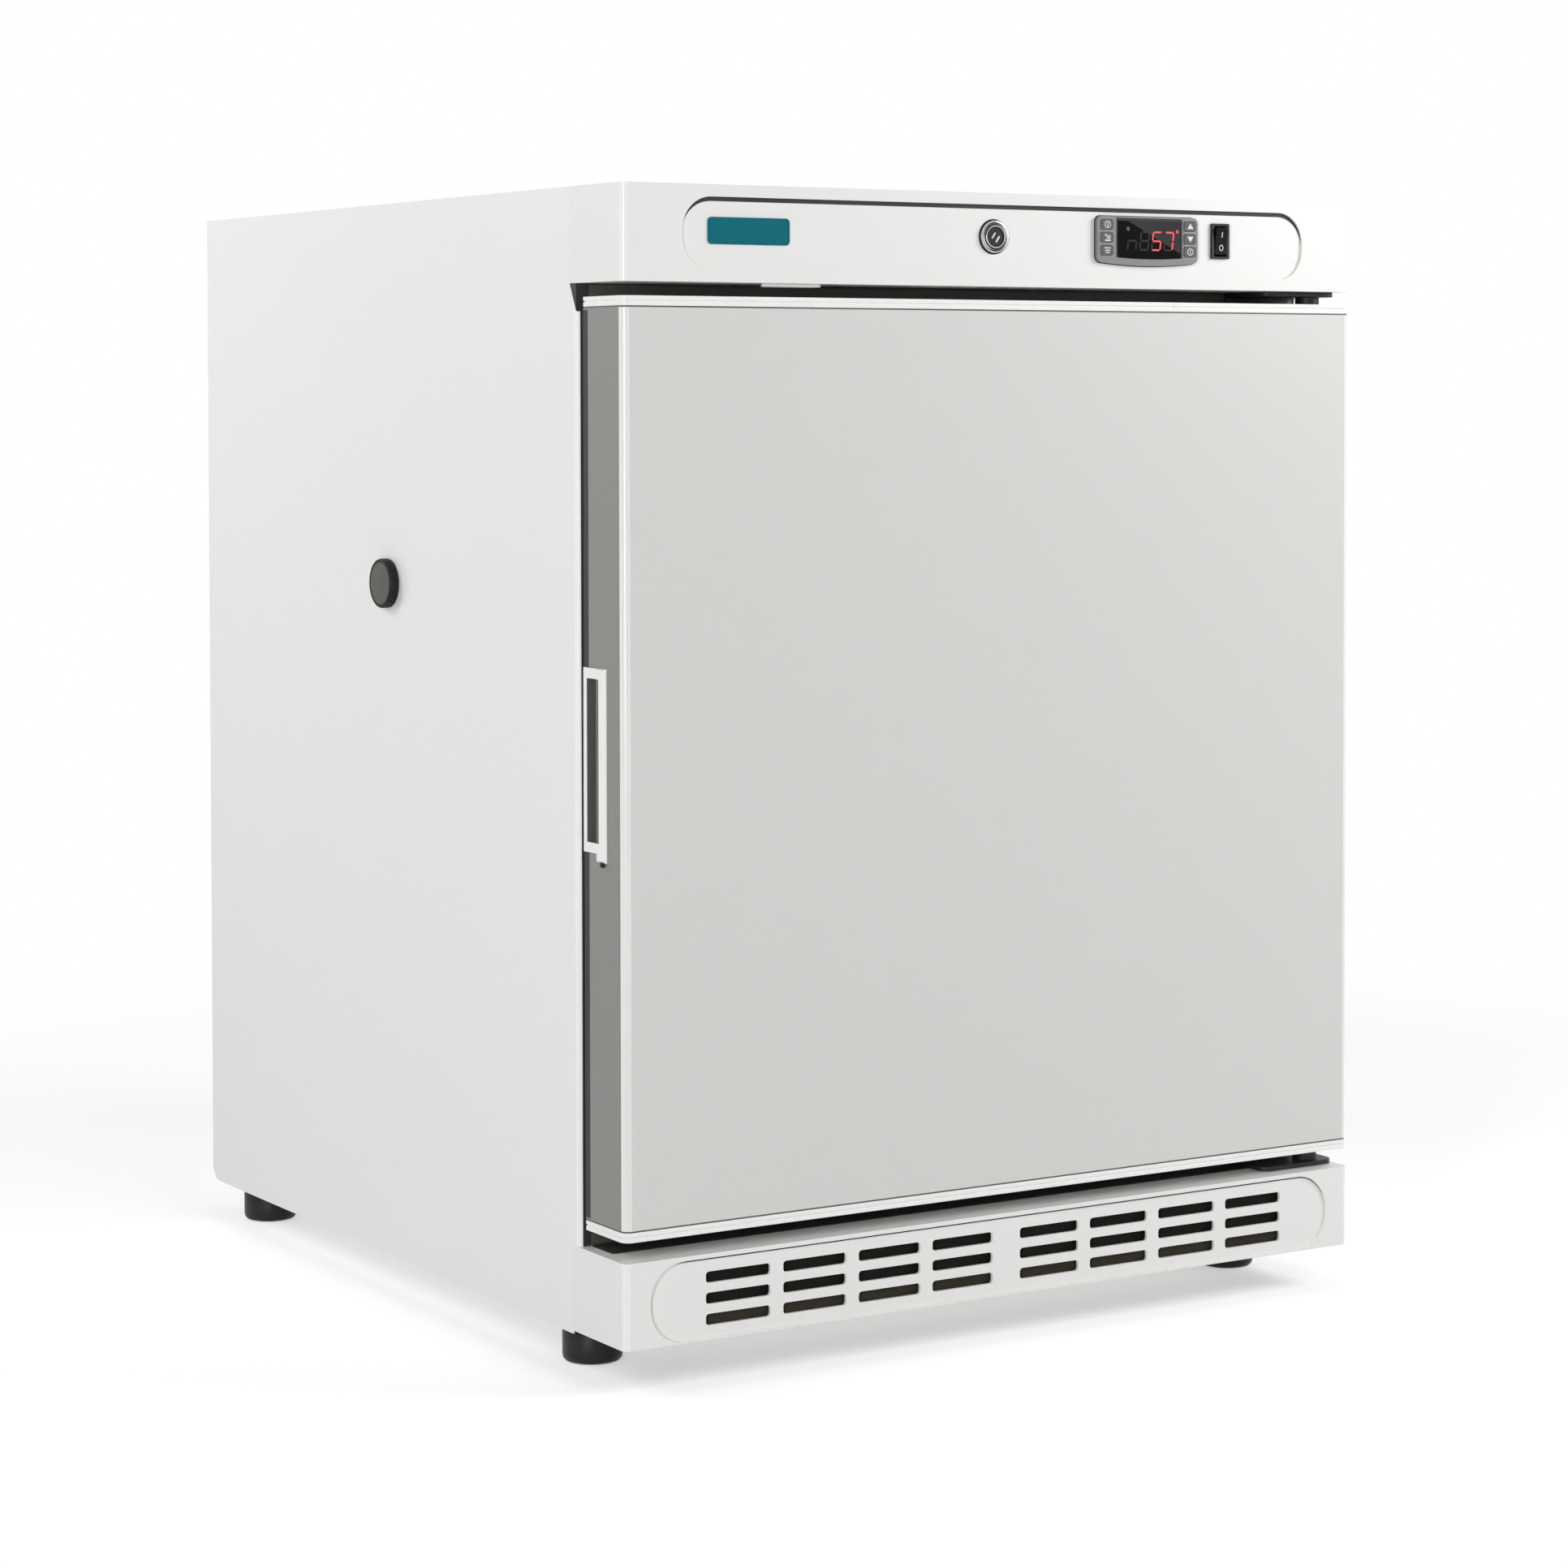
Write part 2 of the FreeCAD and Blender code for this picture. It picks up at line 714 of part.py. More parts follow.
def base():
    """The base tray with a weld nut over each foot."""
    tray = box((-inside_half, inside_half), (seam, back - d.PanelCornerRadius), (underside, floor_top))
    nuts, bores = [], []
    for x, y in foot_places().values():
        nuts.append(rod(d.StudDiameter * 1.8, "z", (floor_top - d.BaseGauge / 2, floor_top + d.StudDiameter), (x, y)))
        bores.append(rod(d.StudDiameter + d.Clearance, "z", (underside - MARGIN, floor_top + 2 * d.StudDiameter),
                         (x, y)))
    keep("base_plate", cut(fuse(tray, *nuts), *bores))


def foot(label, place):
    """A moulded levelling foot with its threaded stud."""
    cup = body(label)
    sketch = drawing(cup, "XZ_Plane")
    r, neck, edge = d.FootDiameter / 2, d.FootNeckDiameter / 2, d.FootEdgeRadius
    outline(sketch, [(0, 0), (r - edge, 0), (r, edge), (r, d.FootHeight * 0.7),
                     (neck, d.FootHeight), (d.StudDiameter / 2, d.FootHeight),
                     (d.StudDiameter / 2, d.FootHeight + d.StudLength), (0, d.FootHeight + d.StudLength)])
    turned(cup, sketch)
    move(cup, place[0], place[1], 0)


def shadow_gap(u, v, radius, gap):
    """The slot that is left between a round-ended outline and the same outline set lower by the gap."""
    solids = []
    for drop, length in ((0, d.FasciaFrontWall + MARGIN), (gap, d.FasciaFrontWall + 2 * MARGIN)):
        blank = doc.addObject("PartDesign::Body", "GapBlank")
        sketch = drawing(blank, "XZ_Plane", -(front + d.FasciaFrontWall + MARGIN / 2))
        soft_rectangle(sketch, u, (v[0] - drop, v[1] - drop), radius)
        feature(blank, "Pad", sketch, length)
        solids.append(blank)
    return cut(*solids)


def fascia():
    """The white control moulding across the top, open at its back."""
    part = doc.addObject("PartDesign::Body", "FasciaMoulding")
    block = drawing(part, "XY_Plane", fascia_low)
    rectangle(block, (left, right), (front, seam))
    feature(part, "Pad", block, d.FasciaHeight)
    dress(part, "Fillet", d.FasciaCornerRadius, ("z", "YMin"))
    hollow = drawing(part, "XZ_Plane", -seam)
    rectangle(hollow, (left + d.FasciaWall, right - d.FasciaWall), (fascia_low + d.FasciaWall, top - d.FasciaWall))
    feature(part, "Pocket", hollow, d.FasciaDepth - d.FasciaFrontWall, back=True)
    recess = drawing(part, "XZ_Plane", -front)
    soft_rectangle(recess, (-d.RecessWidth / 2, d.RecessWidth / 2), (recess_low, recess_low + d.RecessHeight),
                   d.RecessRadius)
    feature(part, "Pocket", recess, d.RecessSink)
    openings = drawing(part, "XZ_Plane", -front)
    for x, width, height in ((d.BezelX, d.ControllerWidth, d.ControllerHeight),
                             (d.SwitchX, d.SwitchWidth - 2, d.SwitchHeight - 1.6)):
        rectangle(openings, (x - width / 2 - d.Clearance, x + width / 2 + d.Clearance),
                  (controls_z - height / 2 - d.Clearance, controls_z + height / 2 + d.Clearance))
    circle(openings, (d.LockX, lock_z), d.LockCaseDiameter + 2 * d.Clearance)
    feature(part, "Pocket", openings, d.FasciaFrontWall + MARGIN)
    slot = drawing(part, "XY_Plane", fascia_low)
    rectangle(slot, (d.LockX - 46, d.LockX + d.TongueWidth / 2 + d.TongueRoom),
              (tongue_y - d.TongueRoom, tongue_y + d.TongueGauge + d.TongueRoom))
    feature(part, "Pocket", slot, d.FasciaWall + 1, back=True)
    gap = shadow_gap((-d.RecessWidth / 2, d.RecessWidth / 2), (recess_low, recess_low + d.RecessHeight),
                     d.RecessRadius, d.RecessGap)
    keep("control_fascia", cut(part, gap))


def controller():
    """The digital thermostat: grey bezel, black window, case behind the panel and six keys."""
    x, z = d.BezelX, controls_z
    w, h = d.BezelWidth / 2, d.BezelHeight / 2
    face_y = recess_face - d.BezelThickness
    bezel = body("controller_bezel")
    plate = drawing(bezel, "XZ_Plane", -recess_face)
    bulge = d.BezelBulge
    outline(plate, [(x - w, z - h), (x - w * 0.62, z - h), (x - w * 0.5, z - h - bulge), (x + w * 0.5, z - h - bulge),
                    (x + w * 0.62, z - h), (x + w, z - h), (x + w, z + h), (x - w, z + h)])
    feature(bezel, "Pad", plate, d.BezelThickness)
    dress(bezel, "Fillet", d.BezelRadius, ("y", "XMin", "ZMax"), ("y", "XMax", "ZMax"), ("y", "XMin"), ("y", "XMax"))
    glass = drawing(bezel, "XZ_Plane", -face_y)
    window_u = (x + d.WindowX - d.WindowWidth / 2, x + d.WindowX + d.WindowWidth / 2)
    window_v = (z + h - 1 - d.WindowHeight, z + h - 1)
    rectangle(glass, window_u, window_v)
    feature(bezel, "Pocket", glass, d.WindowGlass)
    wells = drawing(bezel, "XZ_Plane", -face_y)
    gap = d.Clearance
    places = key_places()
    for u, v in places.values():
        rectangle(wells, (u - d.KeyWidth / 2 - gap, u + d.KeyWidth / 2 + gap),
                  (v - d.KeyHeight / 2 - gap, v + d.KeyHeight / 2 + gap))
    feature(bezel, "Pocket", wells, d.BezelThickness - 1)
    keep("display_window", box((window_u[0] + 0.1, window_u[1] - 0.1), (face_y, face_y + d.WindowGlass),
                               (window_v[0] + 0.1, window_v[1] - 0.1)))
    keep("controller_body", box((x - d.ControllerWidth / 2, x + d.ControllerWidth / 2),
                                (recess_face, recess_face + d.ControllerLength),
                                (z - d.ControllerHeight / 2, z + d.ControllerHeight / 2)))
    for label, (u, v) in places.items():
        key = box((u - d.KeyWidth / 2, u + d.KeyWidth / 2),
                  (face_y - d.KeyProud, face_y + d.BezelThickness - 1 - d.KeyTravel - 0.3),
                  (v - d.KeyHeight / 2, v + d.KeyHeight / 2))
        keep(label, soften(key, d.KeyProud * 0.7, ("x", "YMin"), ("z", "YMin")))


def key_places():
    """The middle of each key on the bezel, by name, as X and Z."""
    side_x = {"left": d.BezelX - d.BezelWidth / 2 + 7.4, "right": d.BezelX + d.BezelWidth / 2 - 6.4}
    names = {"left": ("standby_key", "menu_key", "set_key"), "right": ("up_key", "down_key", "defrost_key")}
    return {names[side][row]: (side_x[side], controls_z + 1 + (1 - row) * d.KeyPitch)
            for side in ("left", "right") for row in range(3)}


def power_switch():
    """The black rocker switch in its snap-in housing."""
    x, z = d.SwitchX, controls_z
    w, h = d.SwitchWidth / 2, d.SwitchHeight / 2
    flange = box((x - w, x + w), (recess_face - d.SwitchFlange, recess_face), (z - h, z + h))
    flange = soften(flange, 1, ("y", "XMin"), ("y", "XMax"))
    case = box((x - w + 1, x + w - 1), (recess_face - d.SwitchFlange / 2, recess_face + d.SwitchBodyDepth),
               (z - h + 0.8, z + h - 0.8))
    room = box((x - d.RockerWidth / 2 - 0.4, x + d.RockerWidth / 2 + 0.4),
               (recess_face - MARGIN, recess_face + 6.5),
               (z - d.RockerHeight / 2 - 1.2, z + d.RockerHeight / 2 + 1.2))
    keep("switch_housing", cut(fuse(flange, case), room))
    part = body("rocker")
    side = drawing(part, "YZ_Plane", x - d.RockerWidth / 2)
    y0, r = recess_face - d.SwitchFlange, d.RockerHeight / 2
    outline(side, [(y0 - 2.6, z + r), (y0 - 0.9, z), (y0 - 0.4, z - r), (y0 + 2.4, z - r), (y0 + 4, z - 2),
                   (y0 + 4, z + 2), (y0 + 0.4, z + r)])
    feature(part, "Pad", side, d.RockerWidth)
    return part


def lock():
    """A cam lock: chromed case, turning barrel and the tongue behind the panel."""
    x, z = d.LockX, lock_z
    face_y = recess_face - d.LockProud
    collar = bevel(rod(d.LockFaceDiameter, "y", (face_y, recess_face), (x, z)), 1, ("ring", "YMin"))
    case = rod(d.LockCaseDiameter, "y", (recess_face - d.LockProud / 2, tongue_y - 1), (x, z))
    nut = rod(d.LockCaseDiameter + 6, "y", (front + d.FasciaFrontWall, front + d.FasciaFrontWall + 4), (x, z))
    bore = rod(d.LockBarrelDiameter + d.Clearance, "y", (face_y - MARGIN, tongue_y + MARGIN), (x, z))
    keep("lock_body", cut(fuse(collar, case, nut), bore))
    barrel = rod(d.LockBarrelDiameter - d.Clearance, "y", (face_y + 0.4, tongue_y), (x, z))
    keyway = box((x - 0.7, x + 0.7), (face_y - MARGIN, face_y + 14), (z - 4, z + 4))
    keep("lock_barrel", cut(barrel, keyway))
    w = d.TongueWidth / 2
    tongue = box((x - d.TongueReach, x + w), (tongue_y, tongue_y + d.TongueGauge), (z - w, z + w))
    keep("lock_tongue", soften(tongue, w * 0.9, ("y", "XMin"), ("y", "XMax")))


def door_sensor():
    """The low white sensor under the fascia that feels when the door is shut."""
    length = (d.SensorX - d.SensorLength / 2, d.SensorX + d.SensorLength / 2)
    case = box(length, (front + d.SensorSetback, front + d.SensorSetback + d.SensorWidth),
               (fascia_low - d.SensorHeight, fascia_low))
    keep("door_sensor", bevel(case, d.SensorHeight * 0.8, ("y", "XMin", "ZMin"), ("y", "XMax", "ZMin")))


def lower_grille():
    """The white kick panel with three rows of air slots in two groups."""
    part = doc.addObject("PartDesign::Body", "GrilleMoulding")
    block = drawing(part, "XY_Plane", underside)
    rectangle(block, (left, right), (front, seam))
    feature(part, "Pad", block, d.GrilleHeight)
    dress(part, "Fillet", d.FasciaCornerRadius, ("z", "YMin"))
    hollow = drawing(part, "XZ_Plane", -seam)
    rectangle(hollow, (left + d.FasciaWall, right - d.FasciaWall), (underside - MARGIN, grille_top - d.FasciaWall))
    feature(part, "Pocket", hollow, d.FasciaDepth - d.FasciaFrontWall, back=True)
    recess = drawing(part, "XZ_Plane", -front)
    low = underside + d.GrilleRecessMargin
    soft_rectangle(recess, (-d.GrilleRecessWidth / 2, d.GrilleRecessWidth / 2), (low, low + d.GrilleRecessHeight),
                   d.GrilleRecessHeight / 2 - 0.2)
    feature(part, "Pocket", recess, d.RecessSink)
    slot = drawing(part, "XZ_Plane", -front)
    inner, z, tall = d.GrilleMiddleBar / 2, underside + d.GrilleLowRow, d.GrilleSlotHeight
    soft_rectangle(slot, (inner, inner + d.GrilleSlotWidth), (z - tall / 2, z + tall / 2), d.GrilleSlotRadius)
    opening = feature(part, "Pocket", slot, d.FasciaFrontWall + MARGIN)
    columns = pattern(part, "X_Axis", 3 * d.GrilleSlotPitch, 4)
    rows = pattern(part, "Z_Axis", 2 * d.GrilleRowPitch, 3)
    other_half = part.newObject("PartDesign::Mirrored", "OtherHalf")
    other_half.MirrorPlane = (plane(part, "YZ_Plane"), [""])
    every_slot = part.newObject("PartDesign::MultiTransform", "EverySlot")
    every_slot.Originals = [opening]
    every_slot.Transformations = [columns, rows, other_half]
    part.Tip = every_slot
    gap = shadow_gap((-d.GrilleRecessWidth / 2, d.GrilleRecessWidth / 2), (low, low + d.GrilleRecessHeight),
                     d.GrilleRecessHeight / 2 - 0.2, d.GrilleRecessGap)
    keep("lower_grille", cut(part, gap))


def door():
    """The door: folded skin between two caps, foam, inner liner with its raised rim, and gasket."""
    cap_low, cap_high = door_low + d.CapHeight, door_high - d.CapHeight
    skin_z = (cap_low + d.CapGroove, cap_high - d.CapGroove)
    gauge = d.SheetGauge
    handle_y = front + d.HandleDepth
    hole_z = (underside + d.HandleZ - d.PocketLength / 2 - d.PocketWall,
              underside + d.HandleZ + d.PocketLength / 2 + d.PocketWall)
    hole_y = (handle_y + d.HandleBarWidth - d.PocketWall, handle_y + d.HandleBarWidth + d.PocketWidth + d.PocketWall)
    clear = d.Clearance

    def pocket_room(extra):
        return box((left - MARGIN, left + d.PocketSink + d.PocketWall + extra),
                   (hole_y[0] - extra, hole_y[1] + extra), (hole_z[0] - extra, hole_z[1] + extra))

    outer = box((left, right), (front, door_back), skin_z)
    outer = soften(outer, d.DoorEdgeRadius, ("z", "XMin", "YMin"), ("z", "XMax", "YMin"))
    inner = box((left + gauge, right - gauge), (front + gauge, door_back + MARGIN), (door_low, door_high))
    inner = soften(inner, d.DoorEdgeRadius - gauge, ("z", "XMin", "YMin"), ("z", "XMax", "YMin"))
    keep("door_skin", cut(outer, inner, pocket_room(clear)))

    spigot_in = gauge + clear
    for label, low, high, inward in (("door_top_cap", cap_high, door_high, -1), ("door_bottom_cap", door_low, cap_low, 1)):
        plate = box((left, right), (front, door_back), (low, high))
        plate = soften(plate, d.DoorEdgeRadius, ("z", "XMin", "YMin"), ("z", "XMax", "YMin"))
        reach = (low - d.CapSpigot, low + 1) if inward < 0 else (high - 1, high + d.CapSpigot)
        spigot = box((left + spigot_in, right - spigot_in), (front + spigot_in, door_back - d.LinerGauge), reach)
        spigot = soften(spigot, d.DoorEdgeRadius - spigot_in, ("z", "XMin", "YMin"), ("z", "XMax", "YMin"))
        room = box((left + spigot_in + d.CapWall, right - 2 * d.HingeInset),
                   (front + spigot_in + d.CapWall, door_back - d.LinerGauge - d.CapWall),
                   (reach[0] - MARGIN, low) if inward < 0 else (high, reach[1] + MARGIN))
        tools = [room, rod(d.PinDiameter + 2 * d.RunningFit, "z", (low - 16, high + MARGIN) if inward < 0
                           else (low - MARGIN, high + 16), (hinge_x, hinge_y))]
        if inward < 0:
            tools.append(box((d.LockX - 38, d.LockX + d.TongueWidth / 2 + d.TongueRoom),
                             (tongue_y - d.TongueRoom, tongue_y + d.TongueGauge + d.TongueRoom),
                             (low - MARGIN, high + MARGIN)))
        middle = (low + high) / 2
        level = (middle - d.CapGroove / 2, middle + d.CapGroove / 2)
        around = box((left - MARGIN, right + MARGIN), (front - MARGIN, door_back + MARGIN), level)
        core = box((left + d.CapGroove, right - d.CapGroove), (front + d.CapGroove, door_back + 2 * MARGIN), level)
        core = soften(core, d.DoorEdgeRadius - d.CapGroove, ("z", "XMin", "YMin"), ("z", "XMax", "YMin"))
        tools.append(cut(around, core))
        keep(label, cut(fuse(plate, spigot), *tools))

    filling = box((left + gauge, right - gauge), (front + gauge, door_back - d.LinerGauge),
                  (cap_low + d.CapSpigot, cap_high - d.CapSpigot))
    filling = soften(filling, d.DoorEdgeRadius - gauge, ("z", "XMin", "YMin"), ("z", "XMax", "YMin"))
    keep("door_foam", cut(filling, pocket_room(clear)))

    dyke_x = (-(liner_half - d.DykeInset), liner_half - d.DykeInset)
    dyke_z = (liner_low + d.DykeInset, liner_high - d.DykeInset)
    corners = [("y", side, level) for side in ("XMin", "XMax") for level in ("ZMin", "ZMax")]
    sheet = box((left + gauge, right - gauge), (door_back - d.LinerGauge, door_back),
                (cap_low + d.CapGroove, cap_high - d.CapGroove))
    raised = soften(box(dyke_x, (door_back - d.LinerGauge / 2, door_back + d.DykeHeight), dyke_z),
                    d.LinerRadius, *corners)
    well = box((dyke_x[0] + d.DykeWidth, dyke_x[1] - d.DykeWidth), (door_back, door_back + d.DykeHeight + MARGIN),
               (dyke_z[0] + d.DykeWidth, dyke_z[1] - d.DykeWidth))
    keep("door_liner", cut(fuse(sheet, raised), soften(well, d.LinerRadius, *corners)))

    seal_x = (left + d.GasketInset, right - d.GasketInset)
    seal_z = (door_low + d.GasketInset, door_high - d.GasketInset)
    seal_y = (door_back, face - d.GasketGap)
    seal = soften(box(seal_x, seal_y, seal_z), 2, *[("x", "YMax", level) for level in ("ZMin", "ZMax")],
                  *[("z", "YMax", side) for side in ("XMin", "XMax")])
    inside = box((seal_x[0] + d.GasketWidth, seal_x[1] - d.GasketWidth), (door_back - MARGIN, face + MARGIN),
                 (seal_z[0] + d.GasketWidth, seal_z[1] - d.GasketWidth))
    keep("door_gasket", cut(seal, inside))
    handle(handle_y, hole_y, hole_z)


def handle(handle_y, hole_y, hole_z):
    """The recessed grip in the door's free edge: frame, finger pocket and a raised front bar."""
    z = underside + d.HandleZ
    low, high = z - d.HandleLength / 2, z + d.HandleLength / 2
    frame = box((left - d.HandleProud, left), (handle_y, handle_y + d.HandleWidth), (low, high))
    frame = soften(frame, 1, ("z", "XMin", "YMax"), ("y", "XMin", "ZMax"), ("y", "XMin", "ZMin"))
    bar = box((left - d.HandleBarProud, left), (handle_y, handle_y + d.HandleBarWidth), (low - d.HandleBarDrop, high))
    bar = soften(bar, 2.2, ("z", "XMin"), ("y", "XMin"))
    tub = box((left - d.HandleProud / 2, left + d.PocketSink + d.PocketWall), hole_y, hole_z)
    well = box((left - d.HandleBarProud - MARGIN, left + d.PocketSink),
               (hole_y[0] + d.PocketWall, hole_y[1] - d.PocketWall), (hole_z[0] + d.PocketWall, hole_z[1] - d.PocketWall))
    well = soften(well, 3, ("y", "ZMin", "XMax"), ("y", "ZMax", "XMax"))
    keep("door_handle", cut(fuse(frame, bar, tub), well))


def hinge(label, plate_z, flange_z, pin_z, bush_z):
    """A plated angle bracket screwed to the frame, with the pin that the door turns on and its bush."""
    plate = box((hinge_x - d.HingeReach, right - d.SheetGauge),
                (hinge_y - d.BushDiameter * 0.7, face - d.PanelProud - d.Clearance), plate_z)
    plate = soften(plate, d.BushDiameter / 2, ("z", "XMin", "YMin"), ("z", "XMax", "YMin"))
    flange = box((hinge_x - d.HingeReach, right - d.PanelReturn - 1), (face - d.HingeFlangeGauge, face), flange_z)
    pin = rod(d.PinDiameter, "z", pin_z, (hinge_x, hinge_y))
    bush = rod(d.BushDiameter, "z", bush_z, (hinge_x, hinge_y))
    keep(label, fuse(plate, flange, pin, bush))


def hinges():
    gauge, gap = d.HingeGauge, d.Clearance
    hinge("top_hinge", (fascia_low - gauge, fascia_low), (fascia_low - d.HingeFlange, fascia_low),
          (door_high - d.PinReach, fascia_low - gauge / 2), (door_high + gap, fascia_low - gauge / 2))
    hinge("bottom_hinge", (grille_top, grille_top + gauge), (grille_top, grille_top + d.HingeFlange + 4),
          (grille_top + gauge / 2, door_low + d.PinReach), (grille_top + gauge / 2, door_low - gap))


def port():
    """The cable port through the left wall: lining tube and its pull-out plug."""
    y, z = d.PortY, port_z
    sleeve = rod(d.PortBore + 2 * d.SleeveWall, "x", (left, -liner_half), (y, z))
    flange = rod(d.PortBore + 2 * d.SleeveWall + 8, "x", (-liner_half, -liner_half + 1.5), (y, z))
    bore = rod(d.PortBore, "x", (left - MARGIN, -liner_half + MARGIN), (y, z))
    keep("port_sleeve", cut(fuse(sleeve, flange), bore))
    head = bevel(rod(d.PortDiameter, "x", (left - d.PortProud, left - 0.3), (y, z)), 1.5, ("ring", "XMin"))
    stem = taper(d.PortBore - 1, d.PortBore - 3, "x", (left - 1, left + d.WallThickness - 6), (y, z))
    keep("port_plug", fuse(head, stem))


def wire_shelf(label, level, depth_end):
    """A coated wire shelf: a stiff frame with cross wires welded on top."""
    thick, thin = d.ShelfWire, d.ShelfCrossWire
    x = liner_half - d.ShelfClearance - thick / 2
    near, far = seam + 3 * d.LinerRadius + thick, depth_end
    z = grille_top + level + SEAT + thick / 2
    wires = [wire(thick, "y", (near - thick / 2, far + thick / 2), (side * x, z)) for side in (-1, 1)]
    wires += [wire(thick, "x", (-x, x), (y, z)) for y in (near, (near + far) / 2, far)]
    top_z = z + thick / 2 + thin / 2 - WELD
    count = round(number(d.ShelfWires))
    spacing = 2 * x / (count + 1)
    for i in range(count):
        wires.append(wire(thin, "y", (near - thick / 2, far + thick / 2), (spacing * (i + 1) - x, top_z)))
    keep(label, fuse(*wires))


def shelves():
    duct_front = liner_back - d.DuctDepth
    wire_shelf("lower_shelf", d.LowerShelfZ, step_front - d.LinerGauge - 2 * d.ShelfWire)
    wire_shelf("middle_shelf", d.MiddleShelfZ, duct_front - 2 * d.ShelfWire)
    wire_shelf("upper_shelf", d.UpperShelfZ, duct_front - 2 * d.ShelfWire)


def rotor(label, diameter, hub, depth, blades, place):
    """A stamped fan wheel: pitched paddles that widen outward, on a round hub, turning about Y."""
    x, y, z = place
    disc = rod(hub, "y", (y, y + depth), (x, z))
    core = cut(disc, rod(d.FanShaft + 2 * d.RunningFit, "y", (y + depth * 0.3, y + depth + MARGIN), (x, z)))
    root, tip, deep = number(hub) / 2 - 2, number(diameter) / 2, number(depth)
    paddle = [(-0.45 * deep, root), (0.45 * deep, root), (0.95 * deep, tip * 0.78), (0.75 * deep, tip * 0.97),
              (-0.2 * deep, tip), (-0.85 * deep, tip * 0.94), (-0.8 * deep, tip * 0.6)]
    ring = Part.makePolygon([Vector(u, -0.5, v) for u, v in paddle + paddle[:1]])
    blade = Part.Face(ring).extrude(Vector(0, 1, 0))
    blade.rotate(Vector(), Z, BLADE_PITCH)
    blade.translate(Vector(0, deep / 2, 0))
    copies = []
    for i in range(blades):
        turned_blade = blade.copy()
        turned_blade.rotate(Vector(), Y, 360 * i / blades)
        copies.append(turned_blade)
    vanes = doc.addObject("Part::Feature", "Vanes")
    vanes.Shape = Part.makeCompound(copies)
    move(vanes, *place)
    keep(label, fuse(core, vanes))


def fins(x, y, z, count, gauge=1):
    """A finned coil: thin plates on a core, with the ends of its tubes at one side."""
    run, high, middle = x[1] - x[0], z[1] - z[0], (y[0] + y[1]) / 2
    core = box((x[0], x[1]), (middle - 5, middle + 5), (z[0] + high * 0.04, z[1] - high * 0.04))
    pieces = [core, box((x[1] - gauge, x[1]), y, z)]
    for i in range(count):
        low = x[0] + run * (i / count)
        pieces.append(box((low, low + gauge), y, z))
    for share in (0.15, 0.38, 0.62, 0.85):
        for offset in (-0.22, 0.22):
            pieces.append(wire(d.PipeDiameter, "x", (x[1] - gauge, x[1] + 2),
                               (middle + (y[1] - y[0]) * offset, z[0] + high * share)))
    return fuse(*pieces)


